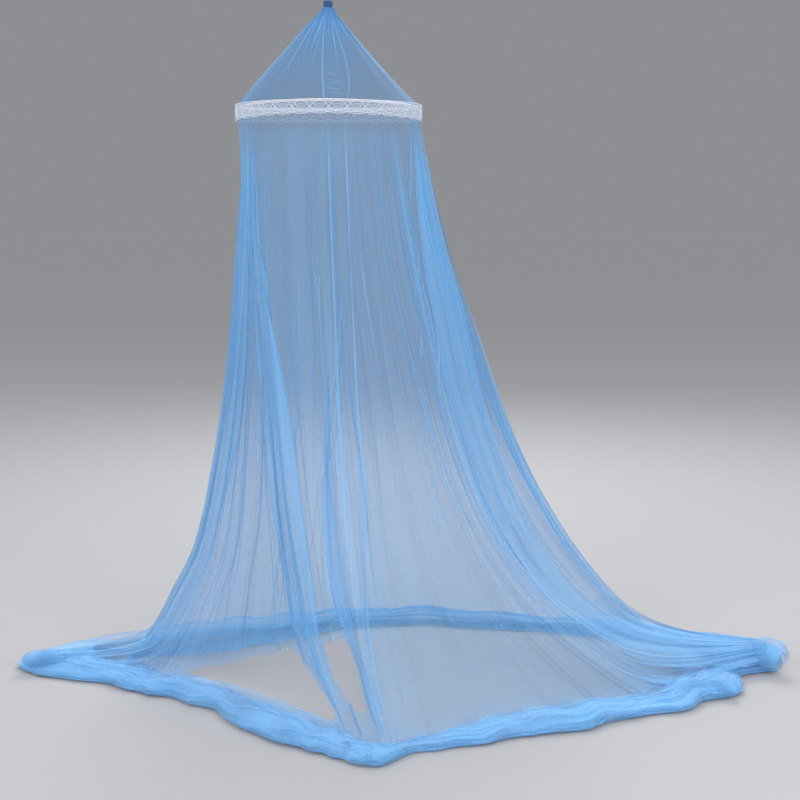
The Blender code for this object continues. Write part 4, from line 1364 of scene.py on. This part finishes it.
def grown_by(obj, tree, values):
    """The object's mesh after a Geometry Nodes tree, as a plain mesh with no modifier left."""
    modifier = obj.modifiers.new("grow", "NODES")
    modifier.node_group = tree
    for key, value in values.items():
        modifier[key] = value
    bpy.context.view_layer.update()
    evaluated = obj.evaluated_get(bpy.context.evaluated_depsgraph_get())
    mesh = bpy.data.meshes.new_from_object(evaluated)
    obj.modifiers.remove(modifier)
    old = obj.data
    obj.data = mesh
    mesh.name = obj.name
    bpy.data.meshes.remove(old)
    return obj


def make_lace_tulle(columns, rows):
    """The lace band's ground, thinner at the front and the back than at the sides."""
    angle, down = grid_over(np.arange(columns) / columns * 2.0 * np.pi, rows)
    scallop = SCALLOP_DROP * np.abs(np.sin(0.5 * SCALLOPS * angle)) * down
    reach = LACE_RADIUS - LACE_INSET + LACE_WAVE * np.sin(7.0 * angle)
    level = LACE_ABOVE - down * (LACE_ABOVE + LACE_BELOW) - scallop
    front = np.maximum(-np.sin(angle), 0.0) ** 2
    level = level - front * (FRONT_DROP + FRONT_SQUEEZE * level)
    level = level + HOOP_HEIGHT - HANG_HEIGHT + saddle(angle)
    uv = round_map(columns, LACE_ROUND, np.linspace(LACE_DEEP, 0.0, rows)[:, None])
    layers = 1.5 - 1.2 * front - 1.1 * np.maximum(np.sin(angle), 0.0) ** 0.5
    return sheet_mesh("lace_tulle", on_circle(reach, angle, level), uv, layers, True)


# stage

def make_floor():
    """A wide level sheet at the floor's height."""
    work = bmesh.new()
    bmesh.ops.create_grid(work, x_segments=1, y_segments=1, size=FLOOR_HALF)
    bmesh.ops.translate(work, verts=work.verts, vec=(0.0, 0.0, -HANG_HEIGHT))
    mesh = bpy.data.meshes.new("floor")
    work.to_mesh(mesh)
    work.free()
    return mesh


def make_studio(colours):
    """The backdrop's colour low down, turning to soft white light overhead."""
    world = bpy.data.worlds.new("studio")
    world.use_nodes = True
    nodes = Nodes(world.node_tree)
    _, _, up = nodes.parts(nodes.node("ShaderNodeTexCoord", {}, {}, "Generated"))
    share = nodes.node("ShaderNodeMapRange", {}, {"Value": up, "From Min": 0.14, "From Max": 0.60})
    light = nodes.blend(share, colours.backdrop, LIGHT_ABOVE)
    nodes.put(nodes.tree.nodes["Background"].inputs["Color"], light)
    return world


def make_lamp(name, place, aim, size, power):
    """A soft square lamp turned to the point that it lights."""
    lamp = bpy.data.lights.new(name, "AREA")
    lamp.size = size
    lamp.energy = power
    obj = bpy.data.objects.new(name, lamp)
    obj.location = place
    obj.rotation_euler = (Vector(aim) - Vector(place)).to_track_quat("-Z", "Y").to_euler()
    return obj


def make_camera():
    """The camera, in front of the net and tilted a little down."""
    lens = bpy.data.cameras.new("camera")
    lens.sensor_width = SENSOR_WIDTH
    lens.lens = LENS_LENGTH
    lens.clip_end = VIEW_END
    camera = bpy.data.objects.new("camera", lens)
    camera.location = CAMERA_PLACE
    camera.rotation_euler = (math.radians(90.0 - CAMERA_TILT), 0.0, 0.0)
    return camera


# settings: one group of sizes and one of colours

class CanopySizes(bpy.types.PropertyGroup):
    columns_per_fold: IntProperty(
        name="Columns per fold", description="Mesh columns in one main fold of the skirt",
        default=40, min=8,
    )
    pleats_per_fold: IntProperty(
        name="Pleats per fold", description="Fine pleats laid on one main fold", default=4, min=1,
    )
    fine_strands: IntProperty(
        name="Fine pleat lines", description="Thin pleat lines besides the marked ones", default=90, min=0,
    )
    hem_lines: IntProperty(
        name="Hem ropes", description="Gathered ropes of net along the hem", default=170, min=0,
    )
    hem_rows: IntProperty(
        name="Hem rows", description="Mesh rows round the bunched hem", default=50, min=12,
    )
    net_cover: FloatProperty(
        name="Net cover", description="Share of the view that one layer of net hides",
        default=0.32, min=0.0, max=1.0, subtype="FACTOR",
    )
    lace_cover: FloatProperty(
        name="Lace ground cover", description="Share of the view that the lace's ground hides",
        default=0.30, min=0.0, max=1.0, subtype="FACTOR",
    )


class CanopyColours(bpy.types.PropertyGroup):
    net: FloatVectorProperty(
        name="Net", description="Colour of the dyed net",
        default=(0.215, 0.520, 0.880), subtype="COLOR", min=0.0, max=1.0,
    )
    # the net's darker end, on the single net and its darker streaks: painted shade beside the lighter
    # gathered cloth, and random tone
    net_shade_and_streaks: FloatVectorProperty(
        name="Net in shade", description="Deeper colour in the net's streaks",
        default=(0.140, 0.365, 0.640), subtype="COLOR", min=0.0, max=1.0,
    )
    # the crown is the same net as the skirt, drawn darker: painted shade, with the deeper blue of its dense
    # gathered net
    crown: FloatVectorProperty(
        name="Crown", description="Colour of the gathered net in the crown",
        default=(0.085, 0.325, 0.690), subtype="COLOR", min=0.0, max=1.0,
    )
    # the crown's darker end, on its single net: painted shade
    crown_deep: FloatVectorProperty(
        name="Crown in shade", description="Deeper colour of the crown's single net",
        default=(0.080, 0.290, 0.550), subtype="COLOR", min=0.0, max=1.0,
    )
    lace: FloatVectorProperty(
        name="Lace", description="Colour of the lace thread",
        default=(0.780, 0.820, 0.910), subtype="COLOR", min=0.0, max=1.0,
    )
    tape: FloatVectorProperty(
        name="Tape", description="Colour of the tape round the top",
        default=(0.045, 0.110, 0.290), subtype="COLOR", min=0.0, max=1.0,
    )
    floor: FloatVectorProperty(
        name="Floor", description="Colour of the plain floor",
        default=(0.41, 0.41, 0.42), subtype="COLOR", min=0.0, max=1.0,
    )
    # darker floor far behind: painted shade
    floor_far_shade: FloatVectorProperty(
        name="Far floor", description="Colour of the floor far behind",
        default=(0.290, 0.293, 0.302), subtype="COLOR", min=0.0, max=1.0,
    )
    backdrop: FloatVectorProperty(
        name="Backdrop", description="Colour of the studio behind the floor",
        default=(0.270, 0.275, 0.290), subtype="COLOR", min=0.0, max=1.0,
    )


# operators

class CANOPY_OT_skirt(bpy.types.Operator):
    """Make the long net, its pleat lines and its bunched hem"""

    bl_idname = "canopy.skirt"
    bl_label = "Make skirt"

    def execute(self, context):
        sizes, colours = context.scene.canopy_sizes, context.scene.canopy_colours
        net = net_material("skirt_net_sheer", colours.net, colours.net_shade_and_streaks, sizes.net_cover)
        # the pleat lines, hem, ropes and tails take a lighter copy of the net: painted light on gathered
        # cloth
        shade = FOLDED_DEEP * Vector(colours.net)
        folded = net_material("skirt_net_folded_lit", colours.net, shade, sizes.net_cover)
        skirt = placed("skirt", make_skirt_wall(sizes.columns_per_fold, sizes.pleats_per_fold), net)
        pleats = placed("skirt_pleats", make_strands(sizes.fine_strands), folded)
        hem = placed("skirt_hem", make_hem(HEM_COLUMNS, sizes.hem_rows), folded)
        ropes = placed("hem_ropes", make_hem_lines(sizes.hem_lines), folded)
        corners = [*make_tail(0, *TAIL_GRID), *make_tail(1, *TAIL_GRID), *make_rolled_ends()]
        tails = placed("skirt_tails", joined("skirt_tails", corners), folded)
        for piece in (skirt, pleats, hem, ropes, tails):
            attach(piece, "root")
        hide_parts("skirt_net")
        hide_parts("skirt_net")
        return {"FINISHED"}


class CANOPY_OT_crown(bpy.types.Operator):
    """Make the pleated cone of net above the hoop"""

    bl_idname = "canopy.crown"
    bl_label = "Make crown"

    def execute(self, context):
        sizes, colours = context.scene.canopy_sizes, context.scene.canopy_colours
        # the crown's net is drawn darker than the skirt's: painted shade
        net = net_material("crown_net_sheer_shaded", colours.crown, colours.crown_deep, sizes.net_cover)
        # the creases take the skirt's lighter net over the darker crown: painted light along them
        shade = FOLDED_DEEP * Vector(colours.net)
        folded = net_material("crown_net_folded_lit", colours.net, shade, sizes.net_cover)
        crown = placed("crown", make_crown(*CROWN_GRID), net)
        creases = placed("crown_creases", make_crown_creases(FINE_CREASES), folded)
        for piece in (crown, creases):
            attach(piece, "root")
        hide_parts("crown_net")
        return {"FINISHED"}


class CANOPY_OT_lace(bpy.types.Operator):
    """Make the lace band: its thin ground and the ring of worked motifs"""

    bl_idname = "canopy.lace"
    bl_label = "Make lace band"

    def execute(self, context):
        sizes, colours = context.scene.canopy_sizes, context.scene.canopy_colours
        ground = lace_material("lace_ground", colours.lace, sizes.lace_cover)
        thread = cord_material("lace_thread", colours.lace, THREAD_SHADE, THREAD_TWIST)
        tulle = placed("lace_tulle", make_lace_tulle(*LACE_GRID), ground)
        motifs = placed("lace_motifs", lace_motif())
        tree, values = lace_tree(thread)
        motifs = grown_by(motifs, tree, values)
        for piece in (tulle, motifs):
            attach(piece, "root")
            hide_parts("lace_band")
        return {"FINISHED"}


class CANOPY_OT_fittings(bpy.types.Operator):
    """Finish the hoop and the tape binding at the top"""

    bl_idname = "canopy.fittings"
    bl_label = "Finish hoop and binding"

    def execute(self, context):
        colours = context.scene.canopy_colours
        tape = cord_material("binding_tape", colours.tape, TAPE_SHADE, TAPE_TWIST)
        for node, made in (("hoop", hoop_material()), ("crown_binding", tape)):
            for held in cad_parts[node].material_slots:
                held.material = made
        return {"FINISHED"}


class CANOPY_OT_stage(bpy.types.Operator):
    """Set the plain pale floor, the soft lights and the camera"""

    bl_idname = "canopy.stage"
    bl_label = "Set stage"

    def execute(self, context):
        scene = context.scene
        colours = scene.canopy_colours
        placed("floor", make_floor(), floor_material(colours))
        scene.world = make_studio(colours)
        for lamp in LAMPS:
            scene.collection.objects.link(make_lamp(*lamp))
        scene.camera = make_camera()
        scene.collection.objects.link(scene.camera)
        scene.view_settings.view_transform = "Standard"
        scene.cycles.transparent_max_bounces = NET_LAYERS_SEEN
        return {"FINISHED"}


class CANOPY_PT_panel(bpy.types.Panel):
    bl_idname = "CANOPY_PT_panel"
    bl_label = "Bed net canopy"
    bl_space_type = "VIEW_3D"
    bl_region_type = "UI"
    bl_category = "Canopy"

    def draw(self, context):
        for group in (context.scene.canopy_sizes, context.scene.canopy_colours):
            for key in group.__annotations__:
                self.layout.prop(group, key)
        for operator in OPERATORS:
            self.layout.operator(operator.bl_idname)


OPERATORS = (CANOPY_OT_stage, CANOPY_OT_skirt, CANOPY_OT_crown, CANOPY_OT_lace, CANOPY_OT_fittings)
CLASSES = (CanopySizes, CanopyColours, *OPERATORS, CANOPY_PT_panel)


def register():
    for made in CLASSES:
        bpy.utils.register_class(made)
    bpy.types.Scene.canopy_sizes = PointerProperty(type=CanopySizes)
    bpy.types.Scene.canopy_colours = PointerProperty(type=CanopyColours)


def unregister():
    del bpy.types.Scene.canopy_colours
    del bpy.types.Scene.canopy_sizes
    for made in reversed(CLASSES):
        bpy.utils.unregister_class(made)


def main():
    register()
    bpy.ops.canopy.stage()
    bpy.ops.canopy.skirt()
    bpy.ops.canopy.crown()
    bpy.ops.canopy.lace()
    bpy.ops.canopy.fittings()


if __name__ == "__main__":
    main()
